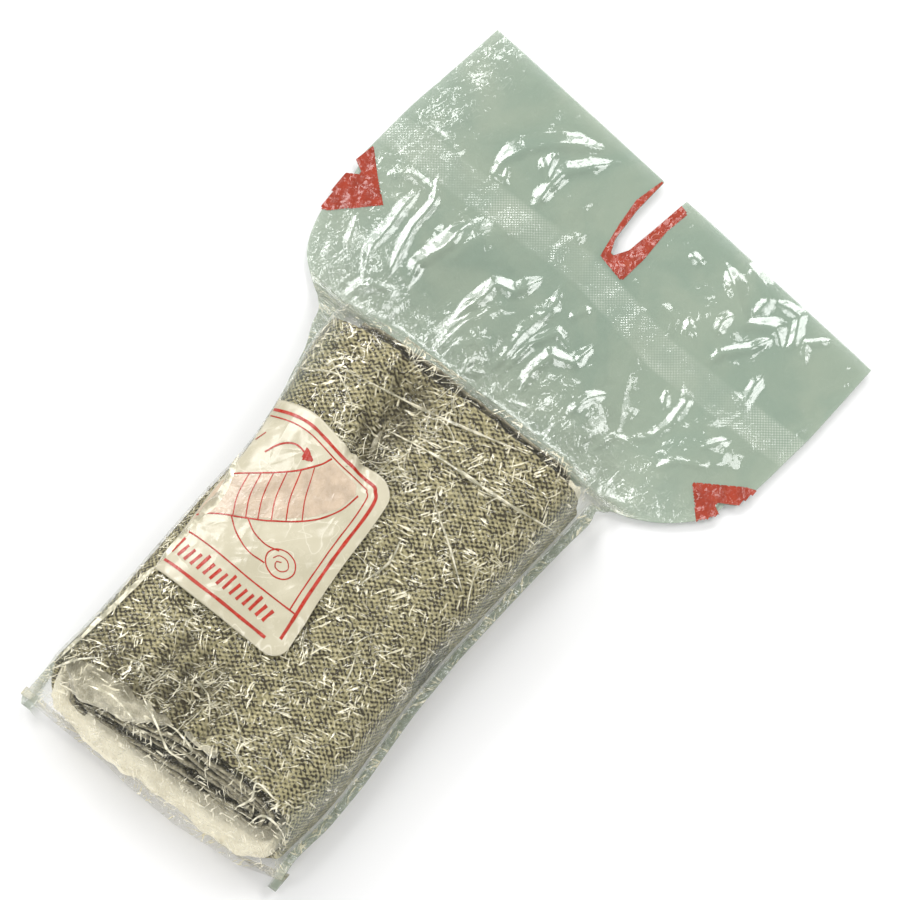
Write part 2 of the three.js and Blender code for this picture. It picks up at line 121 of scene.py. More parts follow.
# The near end's dome: how far out, and the share of the roll's height kept by the upper and lower web
NEAR_DOME = [
    (1, 0, 0),
    (0.94, 0.22, 0.9),
    (0.82, 0.45, 1),
    (0.65, 0.68, 1),
    (0.44, 0.87, 1),
    (0.22, 0.965, 1),
]

# Lines across the flap: left along, left side, right along, right side, share of the roll's height left
FLAP_LINES = [
    (0.036, 0.715, 0.036, 0.61, 0.97),
    (0.066, 0.75, 0.052, 0.636, 0.8),
    (0.088, 0.78, 0.067, 0.63, 0.5),
    (0.108, 0.815, 0.084, 0.625, 0.24),
    (0.135, 0.865, 0.107, 0.7, 0.08),
    (0.182, 0.935, 0.14, 0.79, 0),
    (0.27, 0.985, 0.205, 0.9, 0),
    (0.37, 1.005, 0.3, 0.985, 0),
    (0.47, 1.01, 0.4, 1.015, 0),
    (0.57, 1.0, 0.49, 1.03, 0),
    (0.68, 0.985, 0.58, 1.045, 0),
    (0.79, 0.96, 0.665, 1.052, 0),
    (0.9, 0.935, 0.75, 1.058, 0),
    (1, 0.915, 0.832, 1.064, 0),
]

# Where the side fins widen towards the flap
FIN_FLARE = {
    "along": [0.7, 0.86, 0.94, 1],
    "left": [0, 0.001, 0.01, 0.045],
    "right": [0, 0.002, 0.006, 0.012],
}

# How far the near seam bows out of a straight line, at places across it
NEAR_BOW = {
    "across": [-34, -29, -22, -5, 8, 16, 30, 38],
    "out": [4.0, 2.4, 0.2, -1.0, -0.3, 0.8, 1.4, 2.2],
}
NEAR_CORNER = 2.6
DOME_SWELL = 2.4

# Middle of the flap's seal band, at places across it
SEAL_BAND = {
    "across": [-50, -22.5, 2.1, 27, 50],
    "along": [92, 92.8, 98.6, 98.9, 99.2],
}
SEAL_HALF_WIDTH = 3.9

# How fine the grids of the front web (1) and the back web (-1) are, and how far out of the wrap they lie
WEB_GRIDS = {
    1: {"step": 0.5, "columns": 240, "offset": 0.55},
    -1: {"step": 1.1, "columns": 150, "offset": 0.5},
}

# Billows of the flap's front web: along, across, long, wide, turn in degrees, rise
FLAP_BILLOWS = [
    (0.22, 0.62, 0.16, 0.1, 35, 0.8),
    (0.24, 0.2, 0.2, 0.12, -8, 1),
    (0.22, -0.3, 0.18, 0.13, 12, 0.9),
    (0.36, -0.75, 0.18, 0.1, -30, 0.7),
    (0.46, 0.45, 0.12, 0.16, 60, 0.7),
    (0.66, -0.5, 0.14, 0.14, -40, 0.6),
    (0.8, 0.42, 0.12, 0.2, 70, 0.55),
]

# The tear slit: depth from the top edge, and place across its mouth
SLIT_OUTLINE = [
    (-0.4, 0.55),
    (0, 0.5),
    (0.42, 0.445),
    (0.82, 0.25),
    (0.94, 0.05),
    (1, -0.06),
    (0.81, -0.355),
    (0.4, -0.44),
    (0, -0.5),
    (-0.4, -0.6),
]

# Crests of the flap's crumpled folds: height, half width on each side in millimetres, and the path in the
# photograph's own pixels
FLAP_FOLDS = [
    (1.5, 3.0, 2.2, [(455, 322), (470, 305), (497, 283), (512, 292), (552, 275)]),
    (1.1, 2.4, 1.8, [(485, 378), (524, 331), (556, 304), (566, 280)]),
    (1.3, 2.6, 2.0, [(516, 396), (533, 368), (551, 353), (576, 364), (600, 342)]),
    (0.9, 2.2, 1.6, [(429, 358), (449, 337), (489, 307)]),
    (1.5, 3.0, 2.0, [(405, 288), (417, 263), (441, 247), (477, 219)]),
    (1.2, 2.2, 1.6, [(362, 279), (373, 243), (393, 219), (421, 180)]),
    (0.9, 1.8, 1.4, [(350, 280), (349, 240), (361, 208)]),
    (1.1, 2.0, 1.6, [(385, 279), (409, 231), (433, 199), (441, 164)]),
    (1.5, 3.4, 2.2, [(489, 178), (505, 160), (527, 143), (560, 142), (612, 146)]),
    (1.1, 2.2, 1.6, [(542, 152), (548, 175), (558, 146)]),
    (1.3, 3.0, 2.0, [(519, 202), (536, 203), (550, 184), (570, 169), (622, 160)]),
    (0.8, 1.6, 1.2, [(486, 166), (505, 179), (512, 158)]),
    (0.8, 1.8, 1.4, [(381, 172), (409, 170), (437, 192)]),
    (0.8, 1.4, 1.2, [(393, 327), (409, 343), (427, 360)]),
    (0.8, 1.5, 1.2, [(473, 356), (464, 374), (487, 375)]),
    (1.0, 2.0, 1.5, [(496, 376), (530, 341), (559, 331), (578, 360)]),
    (0.9, 1.8, 1.4, [(568, 318), (580, 311), (593, 309)]),
    (0.8, 1.4, 1.2, [(505, 399), (528, 408)]),
    (0.9, 1.8, 1.4, [(690, 252), (704, 266)]),
    (1.5, 3.4, 2.4, [(724, 256), (737, 287), (746, 324), (778, 328), (784, 356)]),
    (1.2, 2.6, 2.0, [(746, 258), (768, 288), (772, 300), (748, 322)]),
    (1.1, 2.2, 1.6, [(774, 301), (803, 316), (795, 344), (783, 354)]),
    (1.2, 2.4, 1.8, [(702, 365), (723, 356), (751, 350), (779, 337)]),
    (1.0, 2.2, 1.8, [(729, 388), (742, 402), (764, 372)]),
    (0.8, 1.6, 1.3, [(803, 368), (806, 344), (837, 341)]),
    (1.1, 2.2, 1.6, [(778, 443), (797, 429), (829, 410), (832, 394)]),
    (0.8, 1.5, 1.2, [(685, 340), (691, 325), (697, 342)]),
    (0.9, 1.8, 1.4, [(716, 340), (723, 320), (738, 312)]),
    (0.8, 1.5, 1.2, [(669, 388), (667, 412)]),
    (1.0, 1.8, 1.4, [(684, 384), (688, 402), (664, 432)]),
    (0.9, 1.8, 1.4, [(620, 443), (650, 438), (692, 409)]),
    (0.7, 1.5, 1.2, [(700, 449), (727, 441)]),
    (0.7, 5.0, 4.0, [(640, 284), (634, 356), (622, 402), (612, 444)]),
    (0.6, 4.0, 5.0, [(868, 344), (830, 390), (790, 440)]),
    (0.6, 5.0, 4.0, [(500, 60), (470, 105), (448, 134)]),
    (0.6, 6.0, 4.0, [(441, 262), (481, 237), (605, 196)]),
    (0.8, 2.0, 1.6, [(330, 285), (322, 262), (330, 236)]),
    (0.8, 1.8, 1.4, [(336, 300), (360, 285), (402, 292)]),
    (0.7, 1.6, 1.3, [(652, 470), (676, 462), (712, 466)]),
    (0.8, 1.8, 1.4, [(566, 420), (590, 400), (612, 396)]),
    (0.7, 1.6, 1.3, [(590, 450), (612, 436), (640, 452)]),
    (0.6, 2.2, 1.8, [(420, 120), (452, 142), (470, 170)]),
    (0.6, 2.4, 1.8, [(590, 230), (560, 248), (548, 270)]),
    (0.6, 2.2, 1.8, [(660, 300), (676, 318), (668, 344)]),
]

# Outlines of the red tear marks in the photograph's own pixels
TEAR_MARKS = {
    "left": [(352, 158), (373, 141), (377, 172), (383, 203), (328, 208), (319, 206), (334, 171), (340, 160)],
    "right": [(691, 482), (745, 486), (760, 491), (752, 505), (729, 516), (695, 521)],
    "slit": [(664, 178), (638, 197), (621, 221), (601, 254), (622, 280), (645, 258), (668, 230), (690, 212)],
}

# Pinched folds of the film over the roll: half width and height in millimetres, and the path in the
# photograph's own pixels
FILM_RIDGES = [
    (0.3, 0.4, [(341, 368), (375, 385), (420, 408), (470, 430), (530, 455)]),
    (0.34, 0.45, [(388, 430), (440, 458), (500, 498), (561, 535)]),
    (0.28, 0.38, [(433, 499), (448, 540), (462, 589)]),
    (0.25, 0.34, [(403, 535), (390, 560), (362, 581)]),
    (0.18, 0.24, [(310, 622), (306, 640), (309, 658)]),
    (0.28, 0.36, [(300, 368), (330, 372), (352, 380)]),
    (0.18, 0.24, [(360, 640), (352, 668), (330, 700)]),
    (0.18, 0.24, [(478, 560), (470, 588), (466, 610)]),
    (0.2, 0.26, [(330, 356), (352, 400), (350, 424)]),
    (1.0, 0.8, [(266, 408), (244, 448), (227, 488), (202, 517), (162, 562)]),
    (0.6, 0.7, [(164, 562), (146, 578), (105, 618), (62, 658)]),
    (0.3, 0.35, [(150, 690), (163, 716), (174, 742), (190, 752)]),
    (0.25, 0.3, [(172, 716), (186, 726), (198, 744), (176, 748)]),
    (0.3, 0.3, [(96, 680), (120, 690), (140, 712)]),
    (0.3, 0.3, [(60, 664), (84, 655), (112, 652)]),
    (0.3, 0.3, [(238, 800), (256, 790), (262, 774), (280, 790)]),
    (0.25, 0.3, [(250, 818), (268, 806), (286, 822), (290, 840)]),
    (0.2, 0.2, [(128, 652), (150, 660), (146, 680)]),
    (0.2, 0.2, [(200, 672), (214, 690), (216, 716)]),
    (0.18, 0.2, [(222, 690), (240, 704), (246, 730)]),
]

# Gathers and creases of the wound roll: from x, y, to x, y, half width, height (below 0 is a valley)
ROLL_FOLDS = [
    (48, 19, 26, 12.5, 0.9, 0.9),
    (48.5, 15.6, 25, 8.8, 0.8, 1.0),
    (48.7, 12.6, 26, 6.4, 0.8, 0.9),
    (47, 17.2, 25, 10.6, 0.7, -1.1),
    (47.5, 13.8, 24, 6.8, 0.8, -1.2),
    (31, 9.5, 22, 4.5, 1.8, -1.3),
    (33, 16, 46, 15.5, 2.2, 1.2),
    (30, 8, 43, 7.5, 3.6, -1.8),
    (44.2, 28, 44.0, -4, 0.8, -0.45),
    (34.0, 7, 37.0, -31, 0.6, -0.35),
    (27.8, -11, 14, -27, 1.0, -0.5),
    (16, -10, 2, -9.5, 0.9, -0.45),
    (-12.8, -6, -19, -11.6, 1.1, -0.6),
    (-52, 16, -31, 15, 1.5, 0.98),
    (-52, 10.5, -27, 9, 1.3, 1.12),
    (-53, 5, -33, 4.5, 1.3, 0.98),
    (-52, -1, -30, -2, 1.5, 1.12),
    (-53, -7.5, -36, -6, 1.4, 0.84),
    (-52, 13.2, -30, 12, 1.2, -0.98),
    (-52, 7.6, -32, 6.6, 1.1, -1.12),
    (-52, 2, -31, 1.2, 1.2, -1.12),
    (-52, -4.5, -34, -4, 1.3, -0.98),
]


def between(a, b, share):
    return a + (b - a) * share


def bell(u):
    return np.exp(-u * u)


def smooth_step(value, low, high):
    share = np.clip((value - low) / (high - low), 0, 1)
    return share * share * (3 - 2 * share)


def on_curve(s, first, second, slope_out, slope_in, span=1):
    """The value at a share of a smooth curve from one value to the next, with a slope at each."""
    start = (1 + 2 * s) * (1 - s) ** 2
    end = s * s * (3 - 2 * s)
    bend = span * (s * (1 - s) ** 2 * slope_out - s * s * (1 - s) * slope_in)
    return start * first + end * second + bend


def through(table, column, at):
    """The value of one column of a table at a place, on a smooth curve through its rows."""
    place = np.array(table["along"], float)
    value = np.array(table[column], float)
    last = len(place) - 1
    before = np.maximum(np.arange(last + 1) - 1, 0)
    after = np.minimum(np.arange(last + 1) + 1, last)
    slope = (value[after] - value[before]) / (place[after] - place[before])
    k = np.clip(np.searchsorted(place, at, side="left") - 1, 0, last - 1)
    span = place[k + 1] - place[k]
    s = np.clip((at - place[k]) / span, 0, 1)
    return on_curve(s, value[k], value[k + 1], slope[k], slope[k + 1], span)


def cloudy(u, v, seed):
    """Smooth noise from -1 to 1 over a plane, the same in every run."""
    lattice = np.random.default_rng(seed).uniform(-1, 1, (97, 97))
    u, v = np.broadcast_arrays(np.asarray(u, float), np.asarray(v, float))
    iu, iv = np.floor(u).astype(int), np.floor(v).astype(int)
    fu, fv = u - iu, v - iv
    fu = fu**3 * (fu * (fu * 6 - 15) + 10)
    fv = fv**3 * (fv * (fv * 6 - 15) + 10)

    def corner(a, b):
        return lattice[(iu + a) % 97, (iv + b) % 97]

    near = between(corner(0, 0), corner(1, 0), fu)
    far = between(corner(0, 1), corner(1, 1), fu)
    return between(near, far, fv)


def fold_lines(x, y, folds):
    """Sum of ridges and valleys, each along a straight line that fades out past its ends."""
    total = np.zeros(np.broadcast(x, y).shape)
    for x0, y0, x1, y1, wide, height in folds:
        length = math.hypot(x1 - x0, y1 - y0)
        ux, uy = (x1 - x0) / length, (y1 - y0) / length
        along = (x - x0) * ux + (y - y0) * uy
        wander = 0.35 * wide * cloudy(along / 4.0 + 7, np.zeros_like(along) + height * 3, 5)
        off = (y - y0) * ux - (x - x0) * uy + wander
        past = np.maximum(np.maximum(-along, along - length), 0)
        total = total + height * bell(off / wide) * bell(past / (1.2 * wide + 1))
    return total


def from_picture(u, v, height=2.5):
    """The place in plan, at a height, of a place read off the photograph in its pixels."""
    right = (u - 321.5) / 4.54
    away = (611.5 - v - 1.553 * height) / 4.266
    return 0.6115 * right + 0.7912 * away, 0.6115 * away - 0.7912 * right


def crest(x, y, path, left, right):
    """A sharp crest of height 1 along a path, with slopes of two widths, that fades out at both ends."""
    lengths = [math.dist(a, b) for a, b in zip(path, path[1:])]
    best = np.full(np.shape(x), np.inf)
    signed, place = np.zeros(np.shape(x)), np.zeros(np.shape(x))
    run = 0.0
    for (x0, y0), (x1, y1), length in zip(path, path[1:], lengths):
        ux, uy = (x1 - x0) / length, (y1 - y0) / length
        along = np.clip((x - x0) * ux + (y - y0) * uy, 0, length)
        gap = np.hypot(x - x0 - along * ux, y - y0 - along * uy)
        side = (y - y0) * ux - (x - x0) * uy
        closer = gap < best
        best = np.where(closer, gap, best)
        signed = np.where(closer, np.sign(side) * gap, signed)
        place = np.where(closer, run + along, place)
        run += length
    swell = np.clip(np.sin(math.pi * np.clip(place / run, 0.04, 0.96)) * 1.5, 0, 1)
    wide = np.where(signed > 0, left, right)
    return np.clip(swell - np.abs(signed) / wide, 0, 1)


def along_roll(x):
    return (x - ROLL_START) / ROLL_LENGTH


def roll_place(along):
    return ROLL_START + along * ROLL_LENGTH


def roll_span(x):
    """Middle and half width of the roll at a place along it."""
    left = through(ROLL_SIDES, "left", along_roll(x)) * ROLL_WIDTH / 2
    right = through(ROLL_SIDES, "right", along_roll(x)) * ROLL_WIDTH / 2
    return (left - right) / 2, (left + right) / 2


def dent_depth(x, y):
    """How far the broad dents press the roll's top down."""
    depth = 0
    for along, across, long, wide, deep in ROLL_DENTS:
        u = (along_roll(x) - along) / long
        v = (y / (ROLL_WIDTH / 2) - across) / wide
        depth = depth + deep * DENT_DEPTH * bell(u) * bell(v)
    return depth


def oval_point(half, half_height, angle):
    """A point of a squared oval, at an angle from +Y through the top."""
    c, s = np.cos(angle), np.sin(angle)
    n = ROLL_SQUARENESS
    reach = (np.abs(c) ** n + np.abs(s) ** n) ** (1 / n)
    return half * c / reach, half_height * s / reach


def roll_relief(x, y):
    """Height of the gathers, creases and small swells of the cloth at a place seen from above."""
    small = 0.28 * cloudy(x / 7.0, y / 6.0, 11) + 0.12 * cloudy(x / 2.7, y / 2.9, 12)
    return fold_lines(x, y, ROLL_FOLDS) + small


def roll_point(x, angle, offset, relief=1.0):
    """A point of the roll's surface, or of a layer at an offset outside it."""
    x, angle, offset = np.broadcast_arrays(np.asarray(x, float), angle, offset)
    middle, half = roll_span(x)
    across, up = oval_point(half + offset, ROLL_HEIGHT / 2 + offset, angle)
    y = middle + across
    top = np.clip(up / (ROLL_HEIGHT / 2 + offset), 0, 1)
    z = ROLL_MIDDLE_HEIGHT + up - dent_depth(x, y) * top
    z = z + relief * roll_relief(x, y) * top**1.5
    z = np.maximum(z, WRAP_BOTTOM - offset)
    return np.stack([x, y, z], axis=-1)


def near_edge(overhang, z):
    """The near end is slanted: each layer reaches further out the lower it lies."""
    return ROLL_START - overhang - NEAR_SLANT * (1 - z / ROLL_HEIGHT)


CORE_BOTTOM = WRAP_BOTTOM + WRAP_THICKNESS + PAD_THICKNESS + 2 * CLEARANCE
CORE_TOP = WRAP_BOTTOM - SOLE_SAG + ROLL_HEIGHT - WRAP_THICKNESS - PAD_LEAF - 2 * CLEARANCE
CORE_INSET = WRAP_THICKNESS + PAD_LEAF + 2 * CLEARANCE


def core_point(x, angle, inset, side_play=CORE_SIDE_PLAY):
    """A point of the inner turns' outer face, or of a turn that lies further in."""
    middle, half = roll_span(x)
    half_height = (CORE_TOP - CORE_BOTTOM) / 2 - inset
    across, up = oval_point(half - CORE_INSET - side_play - inset, half_height, angle)
    y = middle + CORE_SHIFT + across
    z = (CORE_TOP + CORE_BOTTOM) / 2 + up
    return np.stack(np.broadcast_arrays(x, y, z), axis=-1)


# Distance round the roll from the middle of its top, positive towards the labelled side
GIRTH_ANGLES = np.radians(np.arange(-270, 451))
_girth_y, _girth_z = oval_point(ROLL_WIDTH / 2, ROLL_HEIGHT / 2, GIRTH_ANGLES)
_girth_steps = np.hypot(np.diff(_girth_y), np.diff(_girth_z))
GIRTH = np.concatenate([[0], -np.cumsum(_girth_steps)])
GIRTH = GIRTH - np.interp(math.pi / 2, GIRTH_ANGLES, GIRTH)


def girth_at(angle):
    return np.interp(angle, GIRTH_ANGLES, GIRTH)


def angle_at_girth(girth):
    return np.interp(-np.asarray(girth), -GIRTH, GIRTH_ANGLES)


# The angle at which the film leaves the roll for the side fins
FIN_DROP = (ROLL_MIDDLE_HEIGHT - FIN_HEIGHT) / (ROLL_HEIGHT / 2)
FIN_ANGLE = -math.atan2(FIN_DROP, (1 - FIN_DROP**ROLL_SQUARENESS) ** (1 / ROLL_SQUARENESS))


# Meshes


def mesh_object(name, points, faces, uv=None, marks=None, smooth=True):
    """A mesh object from points in millimetres. uv and marks hold one value a point."""
    mesh = bpy.data.meshes.new(name)
    points = np.asarray(points, float).reshape(-1, 3) * MM
    mesh.from_pydata(points.tolist(), [], [tuple(int(k) for k in face) for face in faces])
    mesh.polygons.foreach_set("use_smooth", [smooth] * len(mesh.polygons))
    corners = np.empty(len(mesh.loops), int)
    mesh.loops.foreach_get("vertex_index", corners)
    if uv is not None:
        layer = mesh.uv_layers.new(name="flat")
        layer.data.foreach_set("uv", np.asarray(uv, float).reshape(-1, 2)[corners].ravel())
    for label, values in (marks or {}).items():
        layer = mesh.attributes.new(label, "FLOAT", "POINT")
        layer.data.foreach_set("value", np.asarray(values, float).ravel())
    mesh.update()
    thing = bpy.data.objects.new(name, mesh)
    bpy.context.scene.collection.objects.link(thing)
    return thing


def grid_faces(rows, columns, closed=False, flip=False):
    """Four-cornered faces of a grid; closed joins the last column to the first."""
    i = np.arange(rows - 1)[:, None]
    j = np.arange(columns if closed else columns - 1)[None, :]
    a = i * columns + j
    b = i * columns + (j + 1) % columns
    quads = np.stack([a, b, b + columns, a + columns], axis=-1).reshape(-1, 4)
    return quads[:, ::-1] if flip else quads


def inside_outline(x, y, outline):
    """True for the points inside a closed outline in plan."""
    inside = np.zeros(np.shape(x), bool)
    for (x0, y0), (x1, y1) in zip(outline, outline[1:] + outline[:1]):
        if y0 == y1:
            continue
        crosses = (y0 > y) != (y1 > y)
        inside ^= crosses & (x < x0 + (y - y0) * (x1 - x0) / (y1 - y0))
    return inside


def nearest_on_outline(x, y, outline):
    """The nearest point of a closed outline to each point."""
    best = np.full(np.shape(x), np.inf)
    px, py = np.array(x, float), np.array(y, float)
    for (x0, y0), (x1, y1) in zip(outline, outline[1:] + outline[:1]):
        dx, dy = x1 - x0, y1 - y0
        share = np.clip(((x - x0) * dx + (y - y0) * dy) / (dx * dx + dy * dy), 0, 1)
        qx, qy = x0 + share * dx, y0 + share * dy
        gap = np.hypot(x - qx, y - qy)
        closer = gap < best
        best = np.where(closer, gap, best)
        px, py = np.where(closer, qx, px), np.where(closer, qy, py)
    return px, py


def cut_away(points, faces, outlines):
    """Takes out the faces inside each outline and moves the points left inside onto it."""
    for outline in outlines:
        inside = inside_outline(points[:, 0], points[:, 1], outline)
        faces = faces[~inside[faces].all(axis=1)]
        edge = inside & np.isin(np.arange(len(points)), faces)
        x, y = nearest_on_outline(points[edge, 0], points[edge, 1], outline)
        points[edge, 0], points[edge, 1] = x, y
    return points, faces


def used_only(points, faces, *values):
    """Drops the points that no face uses."""
    used, renumbered = np.unique(faces, return_inverse=True)
    return [points[used], renumbered.reshape(faces.shape)] + [value[used] for value in values]


# The pouch


def pouch_lines():
    """Lines across the pouch: left x, y, right x, y, upper share, lower share, place along the roll."""
    lines = []

    def roll_line(x, upper, lower):
        middle, half = roll_span(np.array(x, float))
        reach = half + CLEARANCE + FILM_SPACE + FIN_WIDTH
        left = reach + through(FIN_FLARE, "left", along_roll(x)) * ROLL_WIDTH
        right = reach + through(FIN_FLARE, "right", along_roll(x)) * ROLL_WIDTH
        lines.append([x, float(middle + left), x, float(middle - right), upper, lower, x])

    roll_line(ROLL_START - NEAR_DOME_LENGTH - NEAR_FIN_WIDTH, 0, 0)
    for out, upper, lower in NEAR_DOME:
        roll_line(ROLL_START - out * NEAR_DOME_LENGTH, upper, lower)
    for along in ROLL_SECTIONS:
        roll_line(roll_place(along), 1, 1)
    for left_along, left, right_along, right, full in FLAP_LINES:
        x0 = ROLL_END + left_along * FLAP_LENGTH
        x1 = ROLL_END + right_along * FLAP_LENGTH
        ends = [x0, left * FLAP_WIDTH / 2, x1, -right * FLAP_WIDTH / 2]
        lines.append(ends + [full, full, (x0 + x1) / 2])
    return np.array(lines)


def smooth_rows(rows, at):
    """Rows of numbers at fractional places, on smooth curves that never overshoot."""
    rows = np.asarray(rows, float)
    steps = np.diff(rows, axis=0)
    before, after = np.vstack([steps[:1], steps]), np.vstack([steps, steps[-1:]])
    same_way = before * after > 0
    slope = np.where(same_way, 2 * before * after / np.where(same_way, before + after, 1), 0)
    k = np.clip(np.floor(at).astype(int), 0, len(rows) - 2)
    return on_curve((at - k)[:, None], rows[k], rows[k + 1], slope[k], slope[k + 1])


def spaced_places(lines, step):
    """Fractional line numbers whose lines lie about one step apart in their middle."""
    middle = (lines[:, 0] + lines[:, 2]) / 2
    height = lines[:, 4] * ROLL_HEIGHT
    gaps = np.hypot(np.diff(middle), 0.6 * np.diff(height))
    run = np.concatenate([[0], np.cumsum(gaps)])
    count = int(run[-1] / step) + 1
    return np.interp(np.linspace(0, run[-1], count), run, np.arange(len(lines)))


def billow_rise(x, y):
    """Height of the flap's soft billows."""
    along = (x - ROLL_END) / FLAP_LENGTH
    across = y / (FLAP_WIDTH / 2)
    rise = 0
    for place, side, long, wide, turn, share in FLAP_BILLOWS:
        c, s = math.cos(math.radians(turn)), math.sin(math.radians(turn))
        du = (along - place) * FLAP_LENGTH / (FLAP_WIDTH / 2)
        dv = across - side
        rise = rise + share * BILLOW_HEIGHT * bell((du * c + dv * s) / long) * bell((dv * c - du * s) / wide)
    return rise


# Share of half the pouch's girth at which the side fins begin
FIN_SHARE = 0.965


def web_grid(side, step, columns, offset):
    """One web of the pouch as a fine grid. side is 1 for the front web and -1 for the back web."""
    lines = pouch_lines()
    rows = smooth_rows(lines, spaced_places(lines, step))
    s = np.linspace(1, -1, columns)[None, :]
    left_x, left_y, right_x, right_y, upper, lower, section = (rows[:, k : k + 1] for k in range(7))
    full = upper if side > 0 else lower
    on_roll = smooth_step(upper, 0, 1)
    fold = np.where(section < 0, NEAR_FIN_HEIGHT, FLAP_HEIGHT)
    fin_height = between(fold, FIN_HEIGHT, on_roll)
    flat = 1 - smooth_step(full, 0, 0.5)
    turn = np.clip((FIN_SHARE - s) / (2 * FIN_SHARE), 0, 1)
    left_angle = FIN_ANGLE if side > 0 else 2 * math.pi + FIN_ANGLE
    angle = between(left_angle, math.pi - FIN_ANGLE, turn)
    oval = roll_point(section, angle, offset)
    plan_x = between(left_x, right_x, (1 - s) / 2)
    plan_y = between(left_y, right_y, (1 - s) / 2)
    out = np.clip((np.abs(s) - FIN_SHARE) / (1 - FIN_SHARE), 0, 1)
    edge_y = np.where(s > 0, left_y, right_y)
    y = between(between(oval[..., 1], edge_y, out), plan_y, flat)
    z = fin_height + full * (oval[..., 2] - FIN_HEIGHT) * (1 - smooth_step(out, 0, 0.3))
    at = {"flat": flat + 0 * s, "section": section + 0 * s, "s": s + 0 * flat, "full": full + 0 * s}
    return plan_x, y, z, at


def slit_outline():
    """The tear slit's outline in plan."""
    lines = pouch_lines()
    left, right = np.array(lines[-1, 0:2]), np.array(lines[-1, 2:4])
    across_top = (left - right) / np.linalg.norm(left - right)
    inward = np.array([-across_top[1], across_top[0]])
    middle = (left + right) / 2
    slit = []
    for deep, across in SLIT_OUTLINE:
        spot = middle + inward * deep * SLIT_DEPTH + across_top * (SLIT_PLACE + across * SLIT_MOUTH)
        slit.append((float(spot[0]), float(spot[1])))
    return slit


def flap_edge(side, along):
    """A place on the flap's left or right edge."""
    columns = {"left": (0, 1), "right": (2, 3)}[side]
    places = [line[columns[0]] for line in FLAP_LINES]
    sides = [line[columns[1]] for line in FLAP_LINES]
    outward = 1 if side == "left" else -1
    across = float(np.interp(along, places, sides))
    return ROLL_END + along * FLAP_LENGTH, outward * across * FLAP_WIDTH / 2


def notch_outline(side):
    """A notch's outline in plan."""
    outward = 1 if side == "left" else -1
    x, y = flap_edge(side, NOTCH_PLACES[side])
    return [
        (x, y - outward * NOTCH_DEPTH),
        (x - outward * NOTCH_WIDTH, y + outward * NOTCH_DEPTH),
        (x + outward * NOTCH_WIDTH, y + outward * NOTCH_DEPTH),
    ]


OPENINGS = [slit_outline(), notch_outline("left"), notch_outline("right")]


def crumple(x, y):
    """Height of the flap's crumpled folds, over soft waves that run out from the neck."""
    bent_x = x + 0.5 * cloudy(x / 6, y / 6, 32)
    bent_y = y + 0.5 * cloudy(x / 6, y / 6, 33)
    folds = 0
    for height, left, right, path in FLAP_FOLDS:
        places = [from_picture(u, v) for u, v in path]
        folds = np.maximum(folds, 0.5 * height * crest(bent_x, bent_y, places, left * 0.85, right * 0.95))
    waves = 0.3 * cloudy(x / 26 + 3, y / 14, 34)
    near_neck = bell((x - ROLL_END - 7) / 8)
    small = 0.3 * near_neck * (1 - np.abs(cloudy(x / 7, y / 2.6, 36)) * 2)
    return folds + waves + small


def film_wrinkle(x, girth):
    """Height of the small wrinkles of the film drawn tight over the knit."""
    u = x + 1.2 * cloudy(x / 5, girth / 5, 41)
    v = girth + 1.2 * cloudy(x / 5, girth / 5, 42)
    ridges = np.clip(1 - np.abs(cloudy(u / 3.4, v / 1.9, 43)) * 5, 0, 1)
    crossing = np.clip(1 - np.abs(cloudy(u / 2.1, v / 3.6, 44)) * 5, 0, 1)
    return 0.2 * ridges + 0.14 * crossing


def near_bow(y):
    """How far the pouch's near seam bows out of a straight line."""
    return np.interp(y, NEAR_BOW["across"], NEAR_BOW["out"])


def web_shape(side):
    """Grid points and marks of one web."""
    x, y, z, at = web_grid(side, **WEB_GRIDS[side])
    flat, full = at["flat"], at["full"]
    near = smooth_step(-x, -ROLL_START + 2, -ROLL_START + 10)
    x = x + near * near_bow(y) * smooth_step(1 - full, 0.3, 1)
    y = y + near * (1 - full) * NEAR_CORNER * smooth_step(y, 20, 37) ** 2
    x = x - DOME_SWELL * near * smooth_step(full, 0.03, 0.26) * (1 - smooth_step(full, 0.85, 1))
    free = flat * (at["section"] > 0) * smooth_step(1 - np.abs(at["s"]), 0, 0.16)
    if side > 0:
        z = z + 0.2 + free * (0.6 * billow_rise(x, y) + crumple(x, y) + 0.3) + (1 - flat) * film_wrinkle(x, y)
        neck = bell((x - ROLL_END - 6) / 6) * (1 - bell(at["s"] / 0.6))
        z = z + neck * 0.7 * np.abs(cloudy(x / 6, y / 2.4, 51)) * (0.3 + full)
    else:
        z = np.maximum(z - 0.15 + free * 0.25 * crumple(x + 40, y), 0.12)
    return np.stack([x, y, z], axis=-1), at


def seal_band(x, y):
    """1 on the band of crossed lines that seals the flap, 0 off it."""
    middle = np.interp(y, SEAL_BAND["across"], SEAL_BAND["along"])
    return 1 - smooth_step(np.abs(x - middle), SEAL_HALF_WIDTH - 0.5, SEAL_HALF_WIDTH + 0.5)


